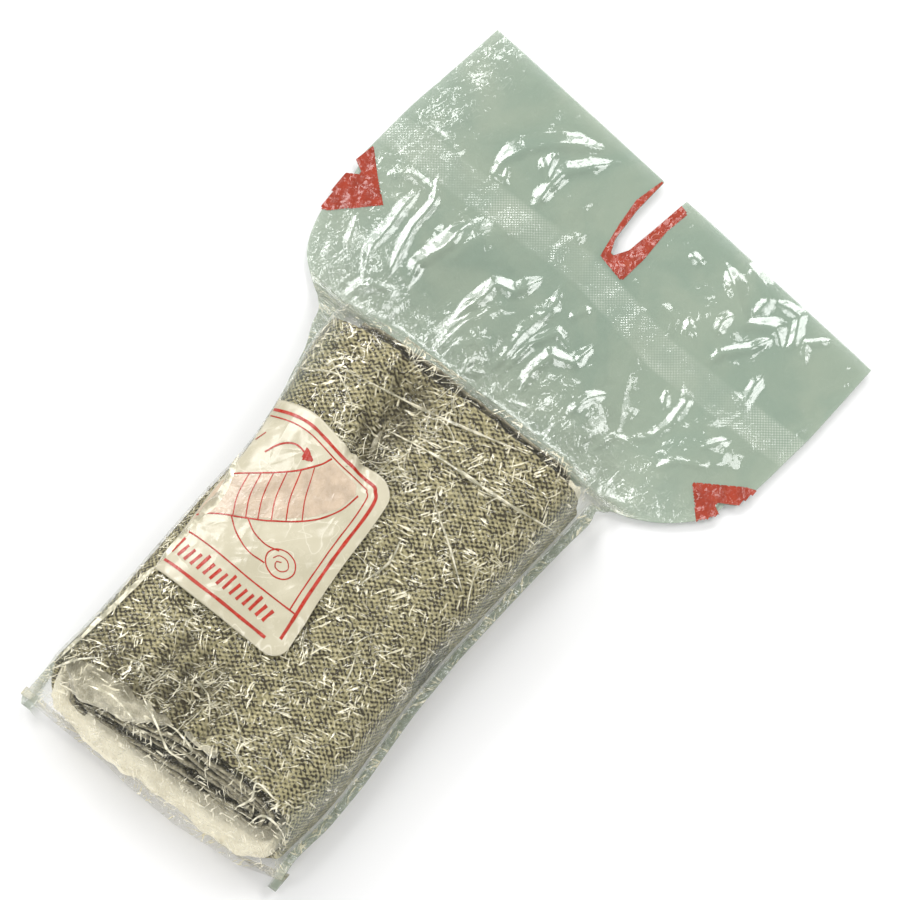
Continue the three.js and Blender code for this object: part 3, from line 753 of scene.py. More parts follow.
def film_marks(points, at):
    """Where a web is loose, sealed, doubled in a fin, milky, crinkled, or strewn with pinched folds."""
    x, y, z = points.T
    flap = smooth_step(x - 0.1 * np.abs(y + 4), ROLL_END + 3.4, ROLL_END + 7.0)
    near = (at["section"] < 0) & (at["full"] < 0.999)
    gathers = bell((x + 40) / 12) * bell((y - 4) / 14)
    right_side = bell((y + 26) / 6)
    clusters = smooth_step(cloudy(x / 9, y / 7, 91) + 0.5 * gathers + 0.45 * right_side, 0.0, 0.6)
    on_top = (z > 12) * (1 - smooth_step(np.abs(at["girth"]), 21, 26)) * smooth_step(x, -50, -45)
    at_neck = bell((x - ROLL_END - 6) / 14)
    at_left_edge = bell((y - 50) / 10) * (x > 60) * 0.5
    return {
        "flap": flap,
        "seal": seal_band(x, y) * (at["flat"] > 0.5),
        "fin": smooth_step(np.abs(at["s"]), FIN_SHARE - 0.01, FIN_SHARE + 0.005),
        "near": near * smooth_step(1 - at["full"], 0, 1),
        "density": clusters * (1 - flap) * on_top,
        "crinkled": np.clip(at_neck + at_left_edge, 0, 1),
        "side": smooth_step(np.abs(at["girth"]), 30, 38) * (1 - flap),
    }


def make_web(name, side):
    """One web of the pouch, with its flat coordinates measured along the film."""
    points, at = web_shape(side)
    rows, columns = points.shape[:2]
    down = np.linalg.norm(np.diff(points, axis=0, prepend=points[:1]), axis=-1)
    over = np.linalg.norm(np.diff(points, axis=1, prepend=points[:, :1]), axis=-1)
    middle = columns // 2
    girth = np.cumsum(over, axis=1)
    run = np.cumsum(down[:, middle])[:, None] + 0 * girth
    girth = girth - girth[:, middle : middle + 1]
    in_flap = at["flat"] * (at["section"] > 0)
    at["run"] = between(run, points[..., 0] + 70, in_flap)
    at["girth"] = between(girth, -points[..., 1], in_flap)
    faces = grid_faces(rows, columns, flip=side > 0)
    points, faces = cut_away(points.reshape(-1, 3).copy(), faces, OPENINGS)
    points, faces, *values = used_only(points, faces, *(value.reshape(-1) for value in at.values()))
    at = dict(zip(at, values))
    uv = np.stack([at["run"], at["girth"]], axis=-1)
    return mesh_object(name, points, faces, uv=uv, marks=film_marks(points, at))


# The wrap, the pad and the label


def make_outer_wrap():
    """The outer turn of the knit, a tube whose wall turns in at both ends."""
    columns = 250
    angles = np.linspace(-math.pi / 2, 3 * math.pi / 2, columns, endpoint=False)
    rows, girths = [], []

    def row(share, offset, draw_in=0.0):
        x = np.full(columns, roll_place(share))
        point = roll_point(x, angles, offset)
        slant = (ROLL_START - near_edge(0, point[:, 2])) * (1 - smooth_step(share, 0, 0.3))
        x = x - slant + draw_in
        ragged = 0.35 * cloudy(angles * 9, np.zeros(columns) + share * 3, 61)
        x = x + ragged * (bell(share / 0.02) + bell((1 - share) / 0.02))
        point = roll_point(x, angles, offset)
        rows.append(point)
        girths.append(np.stack([x, girth_at(angles)], axis=-1))

    row(0.2, -WRAP_THICKNESS)
    row(0.04, -WRAP_THICKNESS)
    row(0, -WRAP_THICKNESS, 0.3)
    row(0, -WRAP_THICKNESS / 2, -0.1)
    row(0, -0.25, 0.05)
    for share in np.linspace(0, 1, 150):
        row(share, 0.0, 0.35 * (1 - smooth_step(share, 0, 0.006)) - 0.35 * smooth_step(share, 0.994, 1))
    row(1, -0.25, -0.05)
    row(1, -WRAP_THICKNESS / 2, 0.1)
    row(1, -WRAP_THICKNESS, -0.3)
    row(0.96, -WRAP_THICKNESS)
    row(0.8, -WRAP_THICKNESS)
    j = np.arange(columns)
    after = (j + 1) % columns
    last = (len(rows) - 1) * columns
    inner = np.stack([last + after, after, j, last + j], axis=-1)
    faces = np.vstack([grid_faces(len(rows), columns, closed=True, flip=True), inner])
    points = np.array(rows).reshape(-1, 3)
    x, y, z = points.T
    # Painted shade: the shade mark darkens the knit in the valleys of the folds and over the gathers of the
    # near end's top.
    valley = np.clip(-fold_lines(x, y, ROLL_FOLDS) / 1.3, 0, 1)
    gathered_shade = 0.75 * bell((x + 47) / 9) * smooth_step(y, -4, 10)
    gathered_shade = gathered_shade + 0.35 * bell((x + 38) / 10) * bell((y - 4) / 9)
    marks = {"shade": np.clip(valley + gathered_shade, 0, 1) * smooth_step(z, 18, 26)}
    return mesh_object("knit_outer_turn", points, faces, uv=np.array(girths).reshape(-1, 2), marks=marks)


def pressed_down(point):
    """Points of the inner layers, pressed down at the near end where the pad's corner swells over them."""
    point = point.copy()
    squeeze = 0.62 * (1 - smooth_step(point[..., 0], -47, -37)) * smooth_step(point[..., 1], 0, 15)
    point[..., 2] = between(point[..., 2], CORE_BOTTOM + 0.6, squeeze)
    return point


def closing_faces(rows, columns):
    """Faces that join a grid's last row to its first."""
    j = np.arange(columns - 1)
    last = (rows - 1) * columns
    return np.stack([last + j, last + j + 1, j + 1, j], axis=-1)


def make_core():
    """The inner turns: one ribbon of knit in a flattened spiral, its ragged ends stepped layer by layer."""
    steps = CORE_TURNS * 130
    turn = np.linspace(0, CORE_TURNS, steps + 1)
    angle = 2 * math.pi * turn - math.pi / 4
    shares = [0.0, 0.006, 0.015, 0.03, 0.06, 0.12, 0.4, 0.85, 0.93, 0.97, 0.992, 1.0]
    stepped = 1.3 * (1 - np.cos(math.pi * turn)) + 0.5 * cloudy(turn * 5, turn * 0, 63)
    rows, flats, edges = [], [], []
    for depth, order in ((0.0, shares), (CORE_CLOTH, shares[::-1])):
        ragged = 0.3 * cloudy(turn * 61, turn * 0 + depth, 62) + 0.35 * cloudy(turn * 23, turn * 0, 64)
        inset = depth * 0.8 + (CORE_CLOTH + CORE_SLACK) * turn
        for share in order:
            x = np.full(steps + 1, roll_place(share)) + CORE_FAR_OVERHANG * smooth_step(share, 0.9, 1)
            height = core_point(x, angle, inset)[:, 2]
            slant = ROLL_START - near_edge(CORE_NEAR_OVERHANG + 0.9, height) - stepped + ragged
            far = (ragged - 0.5 * stepped) * smooth_step(share, 0.97, 1)
            x = x - slant * (1 - smooth_step(share, 0, 0.1)) + far
            rows.append(pressed_down(core_point(x, angle, inset)))
            flats.append(np.stack([x, turn * 120], axis=-1))
            edges.append(np.full(steps + 1, 1.0 if share in (0.0, 1.0) else 0.0))
    count, columns = len(rows), steps + 1
    ends = []
    for column, way in ((0, 1), (steps, -1)):
        for i in range(len(shares) - 1):
            quad = [k * columns + column for k in (i, i + 1, count - 2 - i, count - 1 - i)]
            ends.append(quad[::way])
    faces = np.vstack([grid_faces(count, columns), closing_faces(count, columns), ends])
    marks = {"edge": np.array(edges).reshape(-1)}
    points, uv = np.array(rows).reshape(-1, 3), np.array(flats).reshape(-1, 2)
    return mesh_object("knit_inner_turns", points, faces, uv=uv, marks=marks)


# How far the pad's upper leaf is pressed down at its near corner
PAD_CORNER_DIP = 3.0

# How far the pad stands out of the roll at angles round it, from its lower free end to its upper one
PAD_REACH = {
    "degrees": [-152, -140, -125, -100, -60, -25, 5, 28, 45, 62, 76, 88, 100, 108],
    "near": [0.6, 1.3, 1.8, 1.9, 1.9, 1.2, 0.0, -0.2, 1.6, 0.2, -1.8, -1.8, 0.0, -0.4],
    "far": [3.0, 4.2, 2.6, 1.0, 0.6, 0.2, -0.6, -1.0, -1.0, -1.2, -1.4, -1.4, -1.2, -1.2],
}


def rounded_end(outside, inside, depth, angles, outward):
    """Rows that close one end of the pad between its walls, swollen outwards and wrinkled."""
    rows = []
    for share in np.linspace(0, 1, 13)[1:-1]:
        wrinkled = 0.8 * cloudy(angles * 7, share * 3 + 0 * angles, 72)
        wrinkled = wrinkled + 0.4 * cloudy(angles * 17, share * 5 + 0 * angles, 74)
        bulge = math.sin(math.pi * share)
        row = between(outside, inside, share)
        row[:, 0] += outward * (1.7 * bulge**0.6 + wrinkled * bulge) * depth
        rows.append(row)
    return rows


def make_pad():
    """The sterile pad, folded in a C round the inner turns, its near corner swollen."""
    columns = 210
    angles = np.linspace(PAD_LOWER_END, PAD_LEAF_END, columns)
    degrees = np.degrees(angles)
    near_reach = np.interp(degrees, PAD_REACH["degrees"], PAD_REACH["near"])
    far_reach = np.interp(degrees, PAD_REACH["degrees"], PAD_REACH["far"])
    shares = [*np.linspace(0, 0.14, 32), 0.2, 0.35, 0.5, 0.65, 0.8, *np.linspace(0.88, 1, 16)]

    def outer_wall(x):
        return roll_point(x, angles, -WRAP_THICKNESS - CLEARANCE)

    def inner_wall(x):
        return pressed_down(core_point(x, angles, -CLEARANCE, 0))

    def wall_rows(wall):
        rows = []
        for share in shares:
            x = np.full(columns, roll_place(share)) + far_reach * smooth_step(share, 0.9, 1)
            height = wall(x)[:, 2]
            soft = 0.7 * cloudy(angles * 5, height / 4, 71) + 0.3 * cloudy(angles * 13, height / 2, 73)
            reach = ROLL_START - near_edge(0, height) + near_reach + soft
            rows.append(wall(x - reach * (1 - smooth_step(share, 0, 0.14))))
        return np.array(rows)

    outside, inside = wall_rows(outer_wall), wall_rows(inner_wall)
    dip = 1 - smooth_step(np.array(shares), 0.0, 0.05)
    outside[..., 2] -= bell((degrees - 46) / 24) * PAD_CORNER_DIP * dip[:, None] ** 2 * (degrees > 20)
    thick = outside - inside
    inside, outside = inside + 0.02 * thick, outside - 0.02 * thick
    depth = np.clip(np.linalg.norm(thick, axis=-1) / 6, 0, 1)
    far_end = rounded_end(outside[-1], inside[-1], depth[-1], angles, 1)
    near_end = rounded_end(outside[0], inside[0], depth[0], angles, -1)
    ring = np.concatenate([outside, far_end, inside[::-1], near_end[::-1]])
    count = len(ring)
    first = [i * columns for i in range(count)]
    last = [i * columns + columns - 1 for i in range(count)][::-1]
    faces = np.vstack([grid_faces(count, columns), closing_faces(count, columns)]).tolist() + [first, last]
    return mesh_object("sterile_pad", ring.reshape(-1, 3), faces, uv=ring[..., :2].reshape(-1, 2))


LABEL_OFFSET = 2 * CLEARANCE + FILM_SPACE
LABEL_THICKNESS = 0.28


def label_point(along, across, lift):
    """A point of the label at its own flat coordinates in millimetres. Its far edge is bowed out."""
    along = along + 2.0 * bell((across - 3) / 8) * smooth_step(along, 2, 23)
    x = LABEL_ALONG + along * math.cos(LABEL_LONG_TURN) - across * math.sin(LABEL_SHORT_TURN)
    girth = LABEL_ACROSS + along * math.sin(LABEL_LONG_TURN) + across * math.cos(LABEL_SHORT_TURN)
    return roll_point(x, angle_at_girth(girth), LABEL_OFFSET + lift)


def label_edge(across):
    """Half the label's length at a distance across it, less at the round corners of its upper side."""
    past = np.maximum(-across - (LABEL_WIDTH / 2 - LABEL_CORNER), 0)
    return LABEL_LENGTH / 2 - LABEL_CORNER + np.sqrt(np.maximum(LABEL_CORNER**2 - past**2, 0))


def make_label():
    """The label's printed base, a thin sheet bent over the roll."""
    rows, columns = 96, 88
    spread = np.linspace(0, 1, columns) ** 1.25
    across = between(-LABEL_WIDTH / 2, LABEL_LOW_SIDE, spread[None, :])
    along = np.linspace(-1, 1, rows)[:, None] * label_edge(across)
    across = across + 0 * along
    top = label_point(along, across, LABEL_THICKNESS)
    under = label_point(along, across, 0.0)
    flat = np.stack([along, across], axis=-1).reshape(-1, 2)
    count = rows * columns
    faces = grid_faces(rows, columns)
    lower = faces[:, ::-1] + count
    number = np.arange(count).reshape(rows, columns)
    rim = np.concatenate([number[0], number[1:, -1], number[-1, -2::-1], number[-2:0:-1, 0]])
    after = np.roll(rim, -1)
    walls = np.stack([rim, rim + count, after + count, after], axis=-1)
    points = np.concatenate([top.reshape(-1, 3), under.reshape(-1, 3)])
    return mesh_object("label_patch", points, np.vstack([faces, lower, walls]), uv=np.vstack([flat, flat]))


# Label print: width and points of open lines, in the label's own flat millimetres, along the roll then across
LABEL_LINES = [
    # the frame
    (0.75, [(-20.9, -15.0), (-20.9, 15.2)]),
    (0.34, [(-12.6, -17.8), (-12.9, -6.0), (-12.5, 6.0), (-12.7, 16.8)]),
    (0.75, [(-19.0, -17.9), (-8.0, -17.9), (8.0, -17.9), (17.6, -17.9), (20.2, -16.8), (21.2, -14.2),
            (21.2, 0.0), (21.2, 16.0)]),
    (0.3, [(-12.6, -16.2), (6.0, -16.2), (17.0, -16.1), (19.0, -15.2), (19.6, -13.4), (19.6, 0.0),
           (19.6, 16.0)]),
    # a limb, drawn as two long curves, with a wound on band of slanted turns
    (0.34, [(-10.6, 15.8), (-6.5, 10.2), (-3.2, 4.0), (0.5, -2.4), (5.4, -8.4), (11.4, -12.6),
            (17.0, -14.2)]),
    (0.34, [(1.6, 16.2), (4.4, 11.0), (7.8, 5.6), (11.6, 0.4), (16.2, -3.6), (19.2, -5.2)]),
    (0.28, [(-4.0, 5.4), (0.6, 7.4), (6.0, 8.4)]),
    (0.28, [(-2.6, 2.8), (2.0, 5.0), (7.4, 6.2)]),
    (0.28, [(-1.2, 0.4), (3.6, 2.6), (9.0, 4.0)]),
    (0.28, [(0.4, -2.2), (5.2, 0.2), (10.8, 1.6)]),
    (0.28, [(2.4, -4.8), (7.0, -2.4), (12.8, -0.8)]),
    (0.24, [(4.6, -7.6), (9.2, -5.0), (15.0, -3.0)]),
    # the loose end of the band
    (0.3, [(-4.2, 5.6), (-6.6, 2.4), (-8.2, -2.0), (-8.0, -6.2)]),
    (0.3, [(-2.4, 2.2), (-4.0, -0.6), (-4.6, -4.2), (-3.8, -7.4)]),
    # the inner turns of the roll that it comes off
    (0.24, [(-5.9, -7.2), (-4.6, -8.0), (-4.4, -10.0), (-5.8, -11.2), (-7.2, -10.2), (-7.2, -8.6),
            (-6.0, -8.2), (-5.5, -9.2)]),
    # a curved arrow round the band, and two short strokes
    (0.42, [(11.6, 8.6), (14.4, 6.6), (16.0, 3.4), (15.8, 0.2)]),
    (0.3, [(9.0, 13.6), (12.6, 13.0), (15.6, 11.2)]),
    (0.24, [(7.6, 16.0), (11.6, 15.8)]),
]
# The outer turn of the small roll, a closed line
LABEL_ROLL_WIDTH = 0.3
LABEL_ROLL = [(-5.9, -5.6), (-3.9, -6.6), (-2.9, -9.0), (-3.6, -11.6), (-5.8, -12.8), (-8.0, -11.8),
              (-9.0, -9.2), (-8.0, -6.6)]
# A row of small slanted bars along the frame
BAR_COUNT = 15
BAR_PITCH = 1.78
BAR_WIDTH = 0.7
# Filled shapes of the print: the arrow's head and the limb
LABEL_SHAPES = [
    ("red", [(17.3, 0.9), (15.7, -2.4), (14.2, 0.7)]),
    ("skin", [(-10.0, 15.4), (-6.0, 9.6), (-2.7, 3.7), (1.0, -2.4), (5.8, -8.0), (11.6, -12.2), (16.8, -13.7),
              (18.8, -12.6), (19.0, -5.6), (16.0, -4.0), (11.3, 0.1), (7.5, 5.3), (4.0, 10.8), (1.3, 15.6)]),
]


def smooth_path(points, closed, step=0.5):
    """A path through points on smooth curves, in even steps."""
    points = np.array(points + [points[0]] if closed else points, float)
    if len(points) == 2:
        count = max(2, int(math.dist(points[0], points[1]) / step))
        return between(points[0], points[1], np.linspace(0, 1, count)[:, None])
    before = np.vstack([points[-2] if closed else 2 * points[0] - points[1], points[:-1]])
    after = np.vstack([points[1:], points[1] if closed else 2 * points[-1] - points[-2]])
    slope = (after - before) / 2
    spots = []
    for k in range(len(points) - 1):
        count = max(2, int(math.dist(points[k], points[k + 1]) / step))
        s = np.linspace(0, 1, count, endpoint=k == len(points) - 2)[:, None]
        spots.append(on_curve(s, points[k], points[k + 1], slope[k], slope[k + 1]))
    return np.vstack(spots)


def ribbon(path, width):
    """Left and right edges of a drawn line, a little uneven as print on creased film is."""
    ahead = np.gradient(path, axis=0)
    ahead = ahead / np.maximum(np.linalg.norm(ahead, axis=1), 1e-6)[:, None]
    away = np.stack([-ahead[:, 1], ahead[:, 0]], axis=-1)
    uneven = 1 + 0.16 * cloudy(path[:, 0] / 1.7, path[:, 1] / 1.7, 81)
    wide = (width / 2 * uneven)[:, None]
    return path + away * wide, path - away * wide


def filled_shape(outline, step=0.55):
    """A fine grid of points and faces that fills an outline."""
    xs, ys = [p[0] for p in outline], [p[1] for p in outline]
    u = np.arange(min(xs) - step, max(xs) + 2 * step, step)
    v = np.arange(min(ys) - step, max(ys) + 2 * step, step)
    flat = np.stack(np.meshgrid(u, v, indexing="ij"), axis=-1).reshape(-1, 2)
    faces = grid_faces(len(u), len(v))
    inside = inside_outline(flat[:, 0], flat[:, 1], outline)
    faces = faces[inside[faces].sum(axis=1) >= 2]
    outer = ~inside & np.isin(np.arange(len(flat)), faces)
    x, y = nearest_on_outline(flat[outer, 0], flat[outer, 1], outline)
    flat[outer, 0], flat[outer, 1] = x, y
    return used_only(flat, faces)


def make_label_lines():
    """All drawn lines of the label as thin ribbons that follow it."""
    paths = [(width, smooth_path(path, False)) for width, path in LABEL_LINES]
    paths.append((LABEL_ROLL_WIDTH, smooth_path(LABEL_ROLL, True)))
    for k in range(BAR_COUNT):
        across = 12.4 - BAR_PITCH * k
        tall = 3.3 if k % 4 else 4.2
        paths.append((BAR_WIDTH, smooth_path([(-18.4, across), (-18.4 + tall, across - 0.9)], False)))
    points, faces = [], []
    for width, path in paths:
        path = path[path[:, 1] < LABEL_LOW_SIDE - 0.5]
        if len(path) < 3:
            continue
        sides = np.stack(ribbon(path, width), axis=1).reshape(-1, 2)
        faces.append(grid_faces(len(path), 2) + len(points))
        points.extend(sides)
    flat = np.array(points)
    place = label_point(flat[:, 0], flat[:, 1], LABEL_THICKNESS + 0.06)
    return mesh_object("label_lines", place, np.vstack(faces), uv=flat)


def make_label_shape(kind, outline):
    """A filled shape of the label's print."""
    flat, faces = filled_shape([(along, min(across, LABEL_LOW_SIDE - 0.4)) for along, across in outline])
    lift = LABEL_THICKNESS + (0.03 if kind == "skin" else 0.05)
    return mesh_object("label_shape_" + kind, label_point(flat[:, 0], flat[:, 1], lift), faces, uv=flat)


# Places to try, in this order, where a point of a mark lies just off the film's edge
NEARBY = [(0, 0), (0.3, 0), (-0.3, 0), (0, 0.3), (0, -0.3), (0.6, 0), (-0.6, 0), (0, 0.6), (0, -0.6)]


def make_tear_mark(name, film):
    """A printed red mark that follows the flap's film, cut by the slit or notch as the film is."""
    outline = [from_picture(u, v) for u, v in TEAR_MARKS[name]]
    flat, faces = filled_shape(outline, 0.5)
    flat, faces = cut_away(flat, faces, OPENINGS)
    flat, faces = used_only(flat, faces)
    tree = surface_tree(film)
    points, hits = [], []
    for x, y in flat:
        for dx, dy in NEARBY:
            spot = tree.ray_cast(Vector(((x + dx) * MM, (y + dy) * MM, 0.05)), Vector((0, 0, -1)))[0]
            if spot is not None:
                break
        hits.append(spot is not None)
        points.append((x, y, (spot.z / MM if spot is not None else 0) + 0.07))
    faces = faces[np.array(hits)[faces].all(axis=1)]
    return mesh_object("tear_mark_" + name, np.array(points), faces, uv=flat)


def seen_surface(pieces, u, v):
    """Place and normal of the first surface on the photograph's line of sight at a pixel."""
    high, low = from_picture(u, v, 45), from_picture(u, v, 0)
    start = Vector((high[0], high[1], 45)) * MM
    sight = (Vector((low[0], low[1], 0)) * MM - start).normalized()
    found = [tree.ray_cast(start, sight) for tree in pieces]
    found = [hit for hit in found if hit[0] is not None]
    if not found:
        return None
    spot, out, _, _ = min(found, key=lambda hit: hit[3])
    return np.array(spot) / MM, np.array(out if out.z > 0 else -out)


def surface_tree(piece):
    """A piece's faces, ready to be met by lines of sight."""
    corners = [vertex.co for vertex in piece.data.vertices]
    return BVHTree.FromPolygons(corners, [tuple(face.vertices) for face in piece.data.polygons])


def make_film_ridges(*under):
    """Long creases and pinched folds that stand on the tight film, as thin three-sided strips."""
    trees = [surface_tree(piece) for piece in under]
    points, faces = [], []
    for wide, tall, path in FILM_RIDGES:
        spots = [seen_surface(trees, u, v) for u, v in smooth_path(path, False, 1.8)]
        spots = [spot for spot in spots if spot is not None]
        if len(spots) < 4:
            continue
        middle = np.array([spot for spot, _ in spots])
        middle[1:-1] = (middle[:-2] + 2 * middle[1:-1] + middle[2:]) / 4
        out = np.array([normal for _, normal in spots])
        ahead = np.gradient(middle, axis=0)
        across = np.cross(out, ahead)
        across /= np.maximum(np.linalg.norm(across, axis=1), 1e-6)[:, None]
        place = np.linspace(0, 1, len(spots))
        uneven = 1 + 0.45 * cloudy(place * len(spots) / 6, place * 0 + wide * 9, 93)
        taper = (np.clip(np.sin(math.pi * place), 0.02, 1) ** 0.5 * uneven)[:, None]
        lean = 0.5 * wide * cloudy(place * len(spots) / 9, place * 0 + tall * 7, 94)[:, None]
        ring = [
            middle + across * wide * taper - out * 0.06,
            middle + out * tall * taper + across * lean,
            middle - across * wide * taper - out * 0.06,
        ]
        start = len(points)
        for k in range(len(spots)):
            points += [row[k] for row in ring]
        for k in range(len(spots) - 1):
            for i in range(3):
                a, b = start + 3 * k + i, start + 3 * k + (i + 1) % 3
                faces.append((a, b, b + 3, a + 3))
        last = start + 3 * (len(spots) - 1)
        faces += [(start + 2, start + 1, start), (last, last + 1, last + 2)]
    return mesh_object("film_ridges", np.array(points), faces, smooth=False)


# Nodes


class Value:
    """One output of a node. Arithmetic on it adds Math nodes to its tree."""

    def __init__(self, tree, socket):
        self.tree = tree
        self.socket = socket

    def __getitem__(self, name):
        """Another output of the same node."""
        return Value(self.tree, self.socket.node.outputs[name])

    def __add__(self, other):
        return worked_out("ADD", self, other)

    def __sub__(self, other):
        return worked_out("SUBTRACT", self, other)

    def __rsub__(self, other):
        return worked_out("SUBTRACT", other, self)

    def __mul__(self, other):
        return worked_out("MULTIPLY", self, other)

    def __truediv__(self, other):
        return worked_out("DIVIDE", self, other)

    def __rtruediv__(self, other):
        return worked_out("DIVIDE", other, self)

    __radd__ = __add__
    __rmul__ = __mul__


def plug(tree, socket, value):
    """Links a node's output to a socket, or gives the socket a plain value."""
    if isinstance(value, Value):
        tree.links.new(value.socket, socket)
    else:
        socket.default_value = value


def put(tree, kind, inputs=None, output=0, **settings):
    """Adds a node, fills its inputs by name or number, and gives one of its outputs."""
    node = tree.nodes.new(kind)
    for key, value in settings.items():
        setattr(node, key, value)
    for key, value in (inputs or {}).items():
        plug(tree, node.inputs[key], value)
    return Value(tree, node.outputs[output])


def worked_out(operation, *values, clamp=False):
    """What one Math node makes of some values, at least one of them from a node."""
    tree = next(value.tree for value in values if isinstance(value, Value))
    return put(tree, "ShaderNodeMath", dict(enumerate(values)), operation=operation, use_clamp=clamp)


def largest(first, *others):
    for other in others:
        first = worked_out("MAXIMUM", first, other)
    return first


def vector_work(operation, first, second):
    """What one Vector Math node makes of a vector and a vector or, to scale it, a number."""
    key = "Scale" if operation == "SCALE" else 1
    return put(first.tree, "ShaderNodeVectorMath", {0: first, key: second}, operation=operation)


def ramp(value, low, high, start=0.0, end=1.0):
    """A value eased from start to end while it goes from low to high."""
    inputs = {"Value": value, "From Min": low, "From Max": high, "To Min": start, "To Max": end}
    return put(value.tree, "ShaderNodeMapRange", inputs, interpolation_type="SMOOTHSTEP")


def noise(vector, scale, detail=2.0, roughness=0.5, warp=0.0):
    inputs = {"Vector": vector, "Scale": scale, "Detail": detail, "Roughness": roughness, "Distortion": warp}
    return put(vector.tree, "ShaderNodeTexNoise", inputs, "Fac")


def blend(share, first, second):
    """Mixes two colours."""
    first, second = (each if isinstance(each, Value) else (*each, 1) for each in (first, second))
    return put(share.tree, "ShaderNodeMix", {0: share, 6: first, 7: second}, 2, data_type="RGBA")


def slide(share, first, second):
    """Mixes two numbers."""
    return put(share.tree, "ShaderNodeMix", {0: share, 2: first, 3: second}, data_type="FLOAT")


def stretched(vector, x, y, turn=0.0):
    """The vector turned by some degrees, then scaled along its two flat directions."""
    inputs = {"Vector": vector, "Rotation": (0, 0, math.radians(turn)), "Scale": (1 / x, 1 / y, 1)}
    return put(vector.tree, "ShaderNodeMapping", inputs, vector_type="TEXTURE")


def separated(vector):
    return put(vector.tree, "ShaderNodeSeparateXYZ", {0: vector})


def bump(height, distance, strength=1.0, normal=None):
    inputs = {"Height": height, "Distance": distance, "Strength": strength}
    if normal is not None:
        inputs["Normal"] = normal
    return put(height.tree, "ShaderNodeBump", inputs)


def flat_coordinates(tree):
    return put(tree, "ShaderNodeUVMap", uv_map="flat")


def mark(tree, name):
    return put(tree, "ShaderNodeAttribute", None, "Fac", attribute_name=name)


def new_group(kind, name, inputs, outputs):
    """An empty node group, what it is given by name, and the sockets of what it puts out."""
    tree = bpy.data.node_groups.new(name, kind)
    for label, socket_type, value in inputs:
        socket = tree.interface.new_socket(name=label, in_out="INPUT", socket_type="NodeSocket" + socket_type)
        if value is not None:
            socket.default_value = value
    for label, socket_type in outputs:
        tree.interface.new_socket(name=label, in_out="OUTPUT", socket_type="NodeSocket" + socket_type)
    given = tree.nodes.new("NodeGroupInput").outputs
    given = {label: Value(tree, given[label]) for label, *_ in inputs}
    return tree, given, tree.nodes.new("NodeGroupOutput").inputs


def use_group(group, flat, **inputs):
    return put(flat.tree, "ShaderNodeGroup", {"Flat": flat, **inputs}, node_tree=group)


# Effects that several materials share. All of them work on flat millimetres


def knit_group():
    """Open knit: staggered holes between loops of yarn, uneven in patches."""
    tree, given, out = new_group(
        "ShaderNodeTree",
        "open_knit",
        [
            ("Flat", "Vector", None),
            ("Course", "Float", 1.16),
            ("Wale", "Float", 1.8),
            ("Unevenness", "Float", 0.2),
        ],
        [("Hole", "Float"), ("Height", "Float"), ("Yarn", "Float")],
    )
    flat = given["Flat"]
    drift = put(tree, "ShaderNodeTexNoise", {"Vector": flat, "Scale": 0.4, "Detail": 2.5}, "Color")
    drift = vector_work("SCALE", vector_work("SUBTRACT", drift, (0.5, 0.5, 0.5)), given["Unevenness"] * 8.0)
    moved = separated(vector_work("ADD", flat, drift))
    along = worked_out("COSINE", moved[0] * math.tau / given["Course"])
    across = worked_out("COSINE", moved[1] * math.tau / given["Wale"])
    grain = (noise(flat, 1.25, 2.0, 0.65) - 0.5) * 4.6
    loose = (noise(flat, 0.34, 2.0) - 0.5) * 2.6
    level = along * across + grain + loose
    hole = ramp(level, 0.1, 0.4)
    fibres = noise(stretched(flat, 1.0, 2.2, 38), 2.4, 2.0, 0.7)
    yarn = ramp(fibres * 3.2 - level, 1.5, 3.2)
    plug(tree, out["Hole"], hole)
    plug(tree, out["Yarn"], yarn)
    plug(tree, out["Height"], yarn * 0.6 - hole)
    return tree


def crease_group():
    """Fine creases of clear film: short bright lines in three directions, closer together in patches."""
    tree, given, out = new_group(
        "ShaderNodeTree",
        "film_creases",
        [("Flat", "Vector", None), ("Size", "Float", 3.0), ("Width", "Float", 0.03), ("Cover", "Float", 0.5)],
        [("Line", "Float"), ("Height", "Float")],
    )
    flat = given["Flat"]
    scale = 1.0 / given["Size"]
    open_at = 0.78 - given["Cover"] * 0.5
    lines, heights = [], []
    for turn, squeeze, share in ((12, 2.2, 1.0), (-48, 2.6, 0.8), (75, 1.8, 0.7)):
        wave = worked_out("ABSOLUTE", noise(stretched(flat, 1.0, squeeze, turn), scale, 1.5, 0.45, 0.6) - 0.5)
        line = worked_out("SUBTRACT", 1.0, wave / given["Width"], clamp=True)
        where = noise(stretched(flat, 1.0, 1.3, turn + 40), scale * 0.45, 2.0)
        lines.append(line * ramp(where - open_at, 0.0, 0.08) * share)
        heights.append(wave * share)
    plug(tree, out["Line"], largest(*lines))
    plug(tree, out["Height"], heights[0] + heights[1] + heights[2])
    return tree


def fleck_group():
    """Short pale streaks of pinched film in three directions, each in its own patches: partly milky film,
    partly painted glints.
    """
    tree, given, out = new_group(
        "ShaderNodeTree",
        "film_flecks",
        [("Flat", "Vector", None), ("Size", "Float", 4.0), ("Cover", "Float", 0.5)],
        [("Fleck", "Float")],
    )
    flat = given["Flat"]
    scale = 1.0 / given["Size"]
    open_at = 0.7 - given["Cover"] * 0.3
    flecks = []
    for turn, squeeze in ((78, 7.0), (28, 8.0), (-24, 7.0)):
        grain = noise(stretched(flat, 1.0, squeeze, turn), scale, 1.0, 0.5, 0.5)
        where = noise(stretched(flat, 1.0, 1.4, turn), scale * 0.5, 2.0)
        flecks.append(ramp(grain, 0.6, 0.645) * ramp(where - open_at, 0.0, 0.1))
    plug(tree, out["Fleck"], largest(*flecks))
    return tree


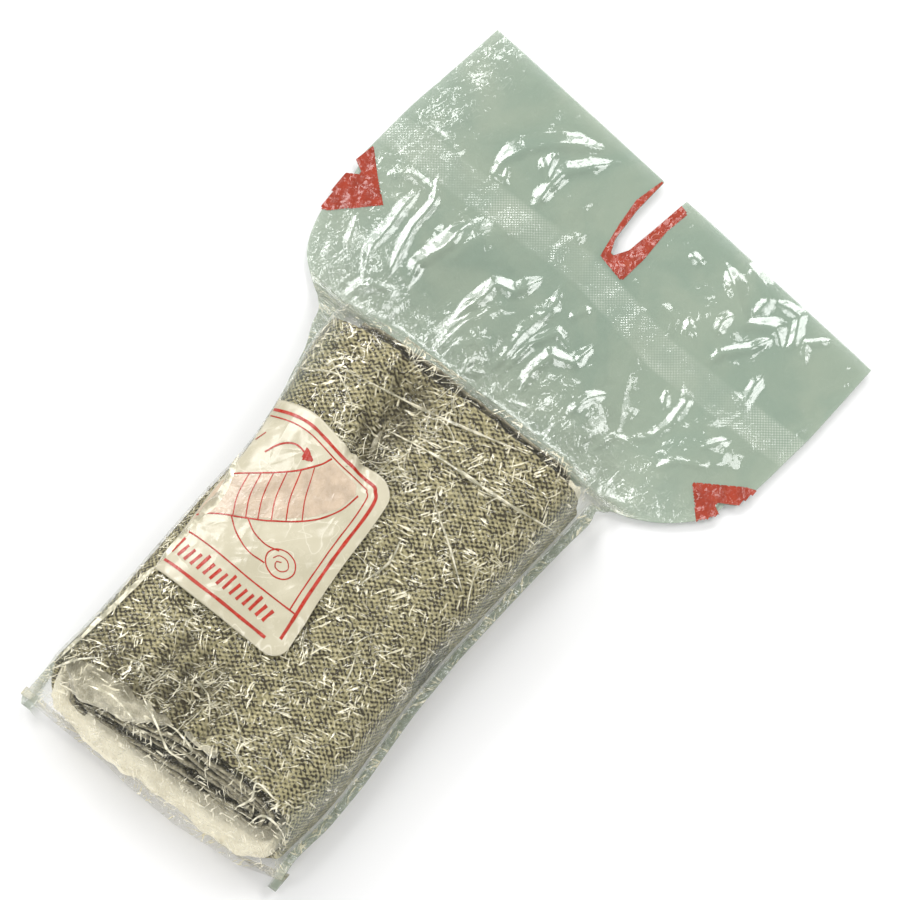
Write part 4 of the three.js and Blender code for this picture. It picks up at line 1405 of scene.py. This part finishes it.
def facet_group():
    """Normals of crumpled film: long flat facets, each with a lean of its own."""
    tree, given, out = new_group(
        "ShaderNodeTree",
        "film_facets",
        [("Flat", "Vector", None), ("Size", "Float", 5.0), ("Lean", "Float", 0.1)],
        [("Normal", "Vector")],
    )
    scale = 1.0 / given["Size"]
    drift = put(tree, "ShaderNodeTexNoise", {"Vector": given["Flat"], "Scale": scale, "Detail": 1.0}, "Color")
    moved = vector_work("ADD", given["Flat"], vector_work("MULTIPLY", drift, (3.0, 3.0, 3.0)))
    total = put(tree, "ShaderNodeNewGeometry", None, "Normal")
    for turn, squeeze in ((8, 2.6), (62, 2.2)):
        inputs = {"Vector": stretched(moved, 1.0, squeeze, turn), "Scale": scale}
        cell = put(tree, "ShaderNodeTexVoronoi", inputs, "Color")
        lean = vector_work("SUBTRACT", cell, (0.5, 0.5, 0.5))
        total = vector_work("ADD", total, vector_work("SCALE", lean, given["Lean"]))
    plug(tree, out["Normal"], put(tree, "ShaderNodeVectorMath", {0: total}, operation="NORMALIZE"))
    return tree


# Materials


def new_material(name):
    """A material, and its tree with one Principled shader."""
    material = bpy.data.materials.new(name)
    material.use_nodes = True
    return material, material.node_tree


def dress(tree, **looks):
    """Fills the shader's sockets, which are named with _ for a space."""
    shader = tree.nodes["Principled BSDF"]
    for name, value in looks.items():
        plug(tree, shader.inputs[name.replace("_", " ")], value)


def floor_paper():
    material, tree = new_material("floor_paper")
    dress(tree, Base_Color=(0.85, 0.85, 0.85, 1), Roughness=0.85)
    return material


def knit_cloth(flat, knit):
    """What both knit materials share besides their colour."""
    return {
        "Roughness": ramp(noise(flat, 2.0, 2.0), 0.2, 0.8, 0.72, 0.95),
        "Normal": bump(knit["Height"], 0.4 * MM, 0.9),
        "Sheen_Weight": 0.1,
        "Sheen_Roughness": 0.6,
    }


def outer_knit_material(groups):
    """Sage and olive elastic knit, with painted shade in the fold valleys and the gathers."""
    material, tree = new_material("knit_outer")
    flat = flat_coordinates(tree)
    knit = use_group(groups["knit"], flat, Unevenness=0.14)
    broad = ramp(noise(flat, 0.09, 2.0), 0.3, 0.7)
    yarn = blend(broad, (0.245, 0.218, 0.1), (0.32, 0.285, 0.138))
    colour = blend(knit["Hole"], blend(knit["Yarn"], yarn, (0.6, 0.53, 0.3)), (0.026, 0.018, 0.005))
    # Painted shade: the shade mark blends the knit towards near black.
    colour = blend(mark(tree, "shade") * 0.66, colour, (0.03, 0.022, 0.008))
    dress(tree, Base_Color=colour, **knit_cloth(flat, knit))
    return material


def inner_knit_material(groups):
    """The same knit in the inner turns, painted dark as shade, with pale cut edges."""
    material, tree = new_material("knit_inner_shaded")
    flat = flat_coordinates(tree)
    knit = use_group(groups["knit"], flat, Unevenness=0.14)
    # Painted shade: the inner turns' yarn and holes are a much darker copy of the outer knit's colours.
    yarn = blend(knit["Yarn"], (0.03, 0.026, 0.013), (0.11, 0.096, 0.052))
    rag = ramp(noise(flat, 1.3, 2.0), 0.3, 0.6, 0.35, 1.0)
    shaded_cloth = blend(knit["Hole"], yarn, (0.008, 0.006, 0.003))
    colour = blend(mark(tree, "edge") * rag, shaded_cloth, (0.4, 0.36, 0.24))
    dress(tree, Base_Color=colour, **knit_cloth(flat, knit))
    return material


def pad_material():
    """Cream non-woven pad: soft fibres with faint stains, darker where the upper leaf is raised."""
    material, tree = new_material("pad_cream")
    place = put(tree, "ShaderNodeTexCoord", None, "Object")
    soft = noise(place, 180, 4.0, 0.6)
    fibres = noise(stretched(place, 1, 2.5, 30), 1500, 3.0, 0.6)
    tone = blend(ramp(soft, 0.3, 0.7), (0.7, 0.635, 0.46), (0.88, 0.82, 0.63))
    raised = ramp(separated(place)[2], 0.0125, 0.018) * ramp(soft, 0.35, 0.6, 0.35, 0.95)
    tone = blend(raised, tone, (0.2, 0.18, 0.11))
    light = ramp(fibres, 0.3, 0.75) * (0.7 - raised * 0.5)
    dress(
        tree,
        Base_Color=blend(light, tone, (0.9, 0.86, 0.7)),
        Roughness=ramp(fibres, 0.2, 0.8, 0.6, 0.85),
        Normal=bump(soft + fibres * 0.15, 1.2 * MM, 0.7),
        Sheen_Weight=0.3,
    )
    return material


# Sage of the loose film, darker and lighter, and its tone down the roll's sides
SAGE = ((0.28, 0.37, 0.285), (0.345, 0.42, 0.32))
SAGE_SIDE = (0.27, 0.32, 0.235)
# The crossed lines that are pressed into the flap's seal
KNURL_PITCH = 0.85
KNURL_TURN = 8


def film_colour(flat, line, fleck_glint, marks):
    """Nearly colourless on the roll, with pale flecks and crease lines that are partly milky film and partly
    painted glints, and sage and scuffed in the flap.
    """
    calm = blend(marks["side"], (0.3, 0.29, 0.19), SAGE_SIDE)
    calm = blend(marks["near"], calm, (0.66, 0.63, 0.49))
    # Painted glints: the flecks and crease lines make the tight film pale.
    tight = blend(largest(fleck_glint, line * 0.4), calm, (0.82, 0.76, 0.54))
    sage = blend(ramp(noise(flat, 0.06, 3.0, 0.55, 0.8), 0.3, 0.7), *SAGE)
    milky = blend(marks["crinkled"] * 0.5, sage, (0.5, 0.55, 0.45))
    loose = blend(marks["scuffed"], milky, (0.8, 0.84, 0.72))
    return blend(marks["banded"], blend(marks["flap"], tight, loose), (0.72, 0.76, 0.66))


def film_cover(line, fleck_glint, marks):
    """How much the film hides what is under it."""
    # The flecks and crease lines cover much of the knit, so that their painted glints show.
    over_roll = largest(
        0.045 + line * 0.22,
        fleck_glint * 0.85,
        marks["near"] * (0.14 + line * 0.3),
        marks["side"] * 0.26,
        marks["fin"] * 0.62,
    )
    in_flap = 0.66 + marks["scuffed"] * 0.3 + marks["banded"] * 0.2
    return slide(marks["flap"], over_roll, in_flap)


def film_material(groups):
    """Clear crinkled film: nearly clear where it is tight on the roll, sage and milky where it is loose."""
    material, tree = new_material("clear_film")
    flat = flat_coordinates(tree)
    marks = {name: mark(tree, name) for name in ("flap", "seal", "fin", "near", "crinkled", "side")}
    loose, seal, crinkled = marks["flap"], marks["seal"], marks["crinkled"]
    fine = use_group(groups["creases"], flat, Size=3.4, Width=0.03, Cover=0.5)
    fleck_glint = use_group(groups["flecks"], flat, Size=3.6, Cover=0.78)
    line = fine["Line"]
    crossed = separated(stretched(flat, math.tau / KNURL_PITCH, math.tau / KNURL_PITCH, KNURL_TURN))
    knurl = worked_out("SINE", crossed[0]) * worked_out("SINE", crossed[1])
    pressed = seal * ramp(knurl, -0.4, 0.6) * ramp(noise(flat, 0.07, 2.0), 0.42, 0.66, 0.1, 1.0)
    marks["scuffed"] = line * (0.03 + crinkled * 0.25)
    marks["banded"] = seal * 0.08 + pressed * 0.36
    uneven = largest(worked_out("ADD", 1.0 - loose, 0.12, clamp=True), crinkled)
    height = fine["Height"] * uneven + seal * knurl * 0.04 + noise(flat, 0.16, 1.0, 0.4) * 0.7
    lean = slide(loose, 0.5, 0.1 + crinkled * 0.1)
    facets = use_group(groups["facets"], flat, Size=1.6 + loose * 1.4, Lean=lean)
    dress(
        tree,
        Base_Color=film_colour(flat, line, fleck_glint, marks),
        Alpha=film_cover(line, fleck_glint, marks),
        Normal=bump(height, 1.0 * MM, 0.4, facets),
        Roughness=ramp(noise(flat, 0.3, 2.0), 0.3, 0.7, 0.04, 0.09),
        IOR=1.6,
        Specular_IOR_Level=0.9,
        Coat_Weight=1.0,
        Coat_Roughness=0.05,
    )
    return material


def back_film_material():
    """The lower web, seen through the upper one or from the sides: calm sage film."""
    material, tree = new_material("clear_film_below")
    flat = flat_coordinates(tree)
    uneven = noise(flat, 0.12, 1.0)
    patch = ramp(uneven, 0.3, 0.7)
    loose, fin, side = (mark(tree, name) for name in ("flap", "fin", "side"))
    dress(
        tree,
        Base_Color=blend(loose, SAGE_SIDE, blend(patch, *SAGE)),
        Alpha=slide(loose, largest(side * 0.26, fin * 0.62), 0.68),
        Roughness=ramp(patch, 0, 1, 0.05, 0.12),
        Normal=bump(uneven, 2.0 * MM, 0.4),
        IOR=1.6,
        Coat_Weight=1.0,
        Coat_Roughness=0.05,
    )
    return material


def fold_material():
    """A pinched fold of film, milky and glossy, its pale colour partly a painted glint."""
    material, tree = new_material("film_fold_glint")
    patch = ramp(noise(put(tree, "ShaderNodeTexCoord", None, "Object"), 420, 2.0), 0.35, 0.65)
    dress(
        tree,
        Base_Color=blend(patch, (0.5, 0.48, 0.35), (0.86, 0.81, 0.63)),
        Alpha=ramp(patch, 0, 1, 0.6, 1.0),
        Roughness=ramp(patch, 0, 1, 0.12, 0.25),
        Specular_IOR_Level=0.8,
    )
    return material


def label_material(groups):
    """Pale cream print base under glossy, creased film, with the creases painted as pale glints."""
    material, tree = new_material("label_base")
    flat = flat_coordinates(tree)
    creases = use_group(groups["creases"], flat, Size=12.0, Width=0.012, Cover=0.5)
    tone = blend(ramp(noise(flat, 0.07, 2.0), 0.35, 0.65), (0.45, 0.415, 0.3), (0.535, 0.495, 0.37))
    dress(
        tree,
        # Painted glints: the crease lines make the label pale.
        Base_Color=blend(creases["Line"] * 0.5, tone, (0.8, 0.76, 0.64)),
        Normal=bump(creases["Height"] + noise(flat, 0.12, 1.0) * 1.5, 1.6 * MM, 0.35),
        Roughness=ramp(noise(flat, 0.5, 2.0), 0.3, 0.7, 0.16, 0.3),
    )
    return material


def ink_material(name, groups, color, pale, roughness=0.35, lean=0.0):
    """Print under film, painted paler along creases as glints of the film over it. A lean gives it facets
    that glint.
    """
    material, tree = new_material(name)
    flat = flat_coordinates(tree)
    creases = use_group(groups["creases"], flat, Size=4.0, Width=0.03, Cover=0.4)
    spread = ramp(noise(flat, 0.3, 1.5), 0.3, 0.7)
    tone = blend(spread, color, [1.25 * part for part in color])
    facets = None
    if lean:
        facets = use_group(groups["facets"], flat, Size=2.2, Lean=lean)
        dress(tree, Coat_Weight=1.0, Coat_Roughness=0.06)
    dress(
        tree,
        # Painted glints: the crease lines make the print pale.
        Base_Color=blend(creases["Line"] * 0.4, tone, pale),
        Normal=bump(creases["Height"], 1.0 * MM, 0.2, facets),
        Roughness=ramp(noise(flat, 1.1, 2.0), 0.3, 0.7, roughness - 0.12, roughness + 0.1),
    )
    return material


# The film's crinkles


def grown_mesh(name, base, tree, settings):
    """What a tree grows on a base object, as a plain mesh object of its own."""
    modifier = base.modifiers.new("grow", "NODES")
    modifier.node_group = tree
    for item in tree.interface.items_tree:
        if item.in_out == "INPUT" and item.name in settings:
            modifier[item.identifier] = settings[item.name]
    shape = base.evaluated_get(bpy.context.evaluated_depsgraph_get())
    mesh = bpy.data.meshes.new_from_object(shape)
    mesh.name = name
    base.modifiers.remove(modifier)
    grown = bpy.data.objects.new(name, mesh)
    bpy.context.scene.collection.objects.link(grown)
    return grown


def combined(tree, **parts):
    """A vector from its parts by the names of their axes."""
    return put(tree, "ShaderNodeCombineXYZ", {axis.upper(): value for axis, value in parts.items()})


def pinched_strip(tree, given, bend, start):
    """One bent fold of length 1, thin at both ends, as an instance."""
    inputs = {"Resolution": 7, "Start": (-0.5, start, 0), "Middle": (0.05, bend, 0), "End": (0.5, -0.1, 0)}
    curve = put(tree, "GeometryNodeCurveQuadraticBezier", inputs)
    place = put(tree, "GeometryNodeSplineParameter", None, "Factor")
    taper = worked_out("SINE", place * math.pi) * 0.9 + 0.08
    curve = put(tree, "GeometryNodeSetCurveRadius", {"Curve": curve, "Radius": taper})
    section = put(tree, "GeometryNodeCurvePrimitiveCircle", {"Resolution": 3, "Radius": 1.0}, mode="RADIUS")
    share = given["Width"] / given["Length"]
    scale = combined(tree, x=share, y=share, z=share)
    section = put(tree, "GeometryNodeTransform", {"Geometry": section, "Scale": scale})
    strip = put(tree, "GeometryNodeCurveToMesh", {"Curve": curve, "Profile Curve": section})
    return put(tree, "GeometryNodeGeometryToInstance", {0: strip})


def random_number(tree, low, high, seed):
    inputs = {"Seed": seed, 2: low, 3: high}
    return put(tree, "FunctionNodeRandomValue", inputs, 1, data_type="FLOAT")


def crinkle_tree():
    """Short pinched folds scattered on a film, bent four ways, closer where the density mark is high."""
    tree, given, out = new_group(
        "GeometryNodeTree",
        "film_crinkles",
        [
            ("Mesh", "Geometry", None),
            ("Density", "Float", 1000.0),
            ("Length", "Float", 0.004),
            ("Width", "Float", 0.00025),
            ("Lift", "Float", 0.0001),
            ("Seed", "Int", 3),
            ("Material", "Material", None),
        ],
        [("Mesh", "Geometry")],
    )
    named = {"Name": "density"}
    density = put(tree, "GeometryNodeInputNamedAttribute", named, "Attribute", data_type="FLOAT")
    inputs = {"Mesh": given["Mesh"], "Density": density * given["Density"], "Seed": given["Seed"]}
    points = put(tree, "GeometryNodeDistributePointsOnFaces", inputs, distribute_method="RANDOM")
    strips = tree.nodes.new("GeometryNodeJoinGeometry")
    for bend, start in ((0.1, 0.04), (-0.14, -0.05), (0.05, -0.08), (0.24, 0.1)):
        plug(tree, strips.inputs[0], pinched_strip(tree, given, bend, start))
    turn = combined(tree, z=random_number(tree, 0.3, 1.9, 5))
    aimed = put(tree, "FunctionNodeRotateRotation", {0: points["Rotation"], 1: turn}, rotation_space="LOCAL")
    strip = Value(tree, strips.outputs[0])
    inputs = {"Points": points, "Instance": strip, "Pick Instance": True, "Rotation": aimed}
    inputs["Scale"] = random_number(tree, 0.35, 1.3, 6) * given["Length"]
    grown = put(tree, "GeometryNodeInstanceOnPoints", inputs)
    lift = {"Instances": grown, "Translation": combined(tree, z=given["Lift"])}
    real = put(tree, "GeometryNodeRealizeInstances", {0: put(tree, "GeometryNodeTranslateInstances", lift)})
    dressed = {"Geometry": real, "Material": given["Material"]}
    plug(tree, out[0], put(tree, "GeometryNodeSetMaterial", dressed))
    return tree


# The scene


def make_floor():
    corners = [(-3000, -3000, 0), (3000, -3000, 0), (3000, 3000, 0), (-3000, 3000, 0)]
    floor = mesh_object("floor", corners, [(0, 1, 2, 3)])
    floor.location.z = -0.02 * MM
    floor.data.materials.append(floor_paper())


def make_camera():
    """A long lens from 70 degrees above the horizon, 52.3 degrees round from the roll's axis."""
    azimuth, elevation = math.radians(52.3), math.radians(70)
    lens, sensor, frame_width = 400, 36, 198.2 * MM
    level = math.cos(elevation)
    forward = Vector((math.sin(azimuth) * level, math.cos(azimuth) * level, -math.sin(elevation)))
    data = bpy.data.cameras.new("camera")
    data.lens = lens
    camera = bpy.data.objects.new("camera", data)
    bpy.context.scene.collection.objects.link(camera)
    camera.location = Vector((47.3, 0.8, 0)) * MM - forward * (frame_width * lens / sensor)
    camera.rotation_mode = "QUATERNION"
    camera.rotation_quaternion = forward.to_track_quat("-Z", "Y")
    bpy.context.scene.camera = camera


def make_light(name, place, size, power):
    data = bpy.data.lights.new(name, "AREA")
    data.size = size
    data.energy = power
    light = bpy.data.objects.new(name, data)
    bpy.context.scene.collection.objects.link(light)
    light.location = place
    light.rotation_mode = "QUATERNION"
    light.rotation_quaternion = (-Vector(place)).to_track_quat("-Z", "Y")


# Lamps: name, place and size in metres, power in watts
LIGHTS = [
    ("key", (0.35, 0.9, 0.87), 0.56, 8.5),
    ("far", (0.96, 0.33, 0.81), 0.5, 5.5),
    ("side", (0.62, -0.42, 1.06), 0.5, 5.0),
    ("top", (-0.38, 0.27, 1.21), 0.4, 2.5),
    ("front", (-0.95, -0.35, 0.62), 0.7, 7),
]


def make_lights():
    for light in LIGHTS:
        make_light(*light)
    world = bpy.data.worlds.new("room")
    bpy.context.scene.world = world
    world.use_nodes = True
    background = world.node_tree.nodes["Background"]
    background.inputs["Color"].default_value = (1, 1, 1, 1)
    background.inputs["Strength"].default_value = 0.4
    bpy.context.scene.view_settings.view_transform = "Standard"


# Sizes in metres, folds a square metre, and the seed of the film's crinkles
CRINKLES = {"Density": 2.6e5, "Length": 0.0042, "Width": 0.0001, "Lift": 0.0, "Seed": 4}


def main():
    make_camera()
    make_floor()
    make_lights()
    groups = {
        "knit": knit_group(),
        "creases": crease_group(),
        "flecks": fleck_group(),
        "facets": facet_group(),
    }
    fold = fold_material()
    inks = {
        "red": ink_material("red_ink", groups, (0.33, 0.018, 0.006), (0.42, 0.1, 0.06)),
        "mark": ink_material("tear_mark_ink", groups, (0.27, 0.028, 0.009), (0.42, 0.11, 0.05), 0.2, 0.3),
        "skin": ink_material("skin_ink", groups, (0.43, 0.34, 0.25), (0.55, 0.47, 0.36), 0.3),
    }
    front, back = make_web("front_film", 1), make_web("back_film", -1)
    wrap, core, pad, label = make_outer_wrap(), make_core(), make_pad(), make_label()
    pieces = [
        (wrap, outer_knit_material(groups), "knit_wrap", ["elastic_wrap_outer"]),
        (core, inner_knit_material(groups), "knit_wrap", ["elastic_wrap_core"]),
        (pad, pad_material(), "sterile_pad", ["dressing_pad"]),
        (front, film_material(groups), "clear_film", ["pouch_front_film"]),
        (back, back_film_material(), "clear_film", ["pouch_back_film"]),
        (label, label_material(groups), "label_print", ["label_panel"]),
        (make_label_lines(), inks["red"], "label_print", []),
    ]
    for kind, outline in LABEL_SHAPES:
        pieces.append((make_label_shape(kind, outline), inks[kind], "label_print", []))
    pieces.append((make_film_ridges(front, label), fold, "clear_film", []))
    grown = grown_mesh("film_crinkles", front, crinkle_tree(), {**CRINKLES, "Material": fold})
    pieces.append((grown, None, "clear_film", []))
    pieces += [(make_tear_mark(name, front), inks["mark"], "label_print", []) for name in TEAR_MARKS]
    for piece, material, slot, nodes in pieces:
        if material:
            piece.data.materials.append(material)
        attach(piece, "root")
        if nodes:
            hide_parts(*nodes)


main()
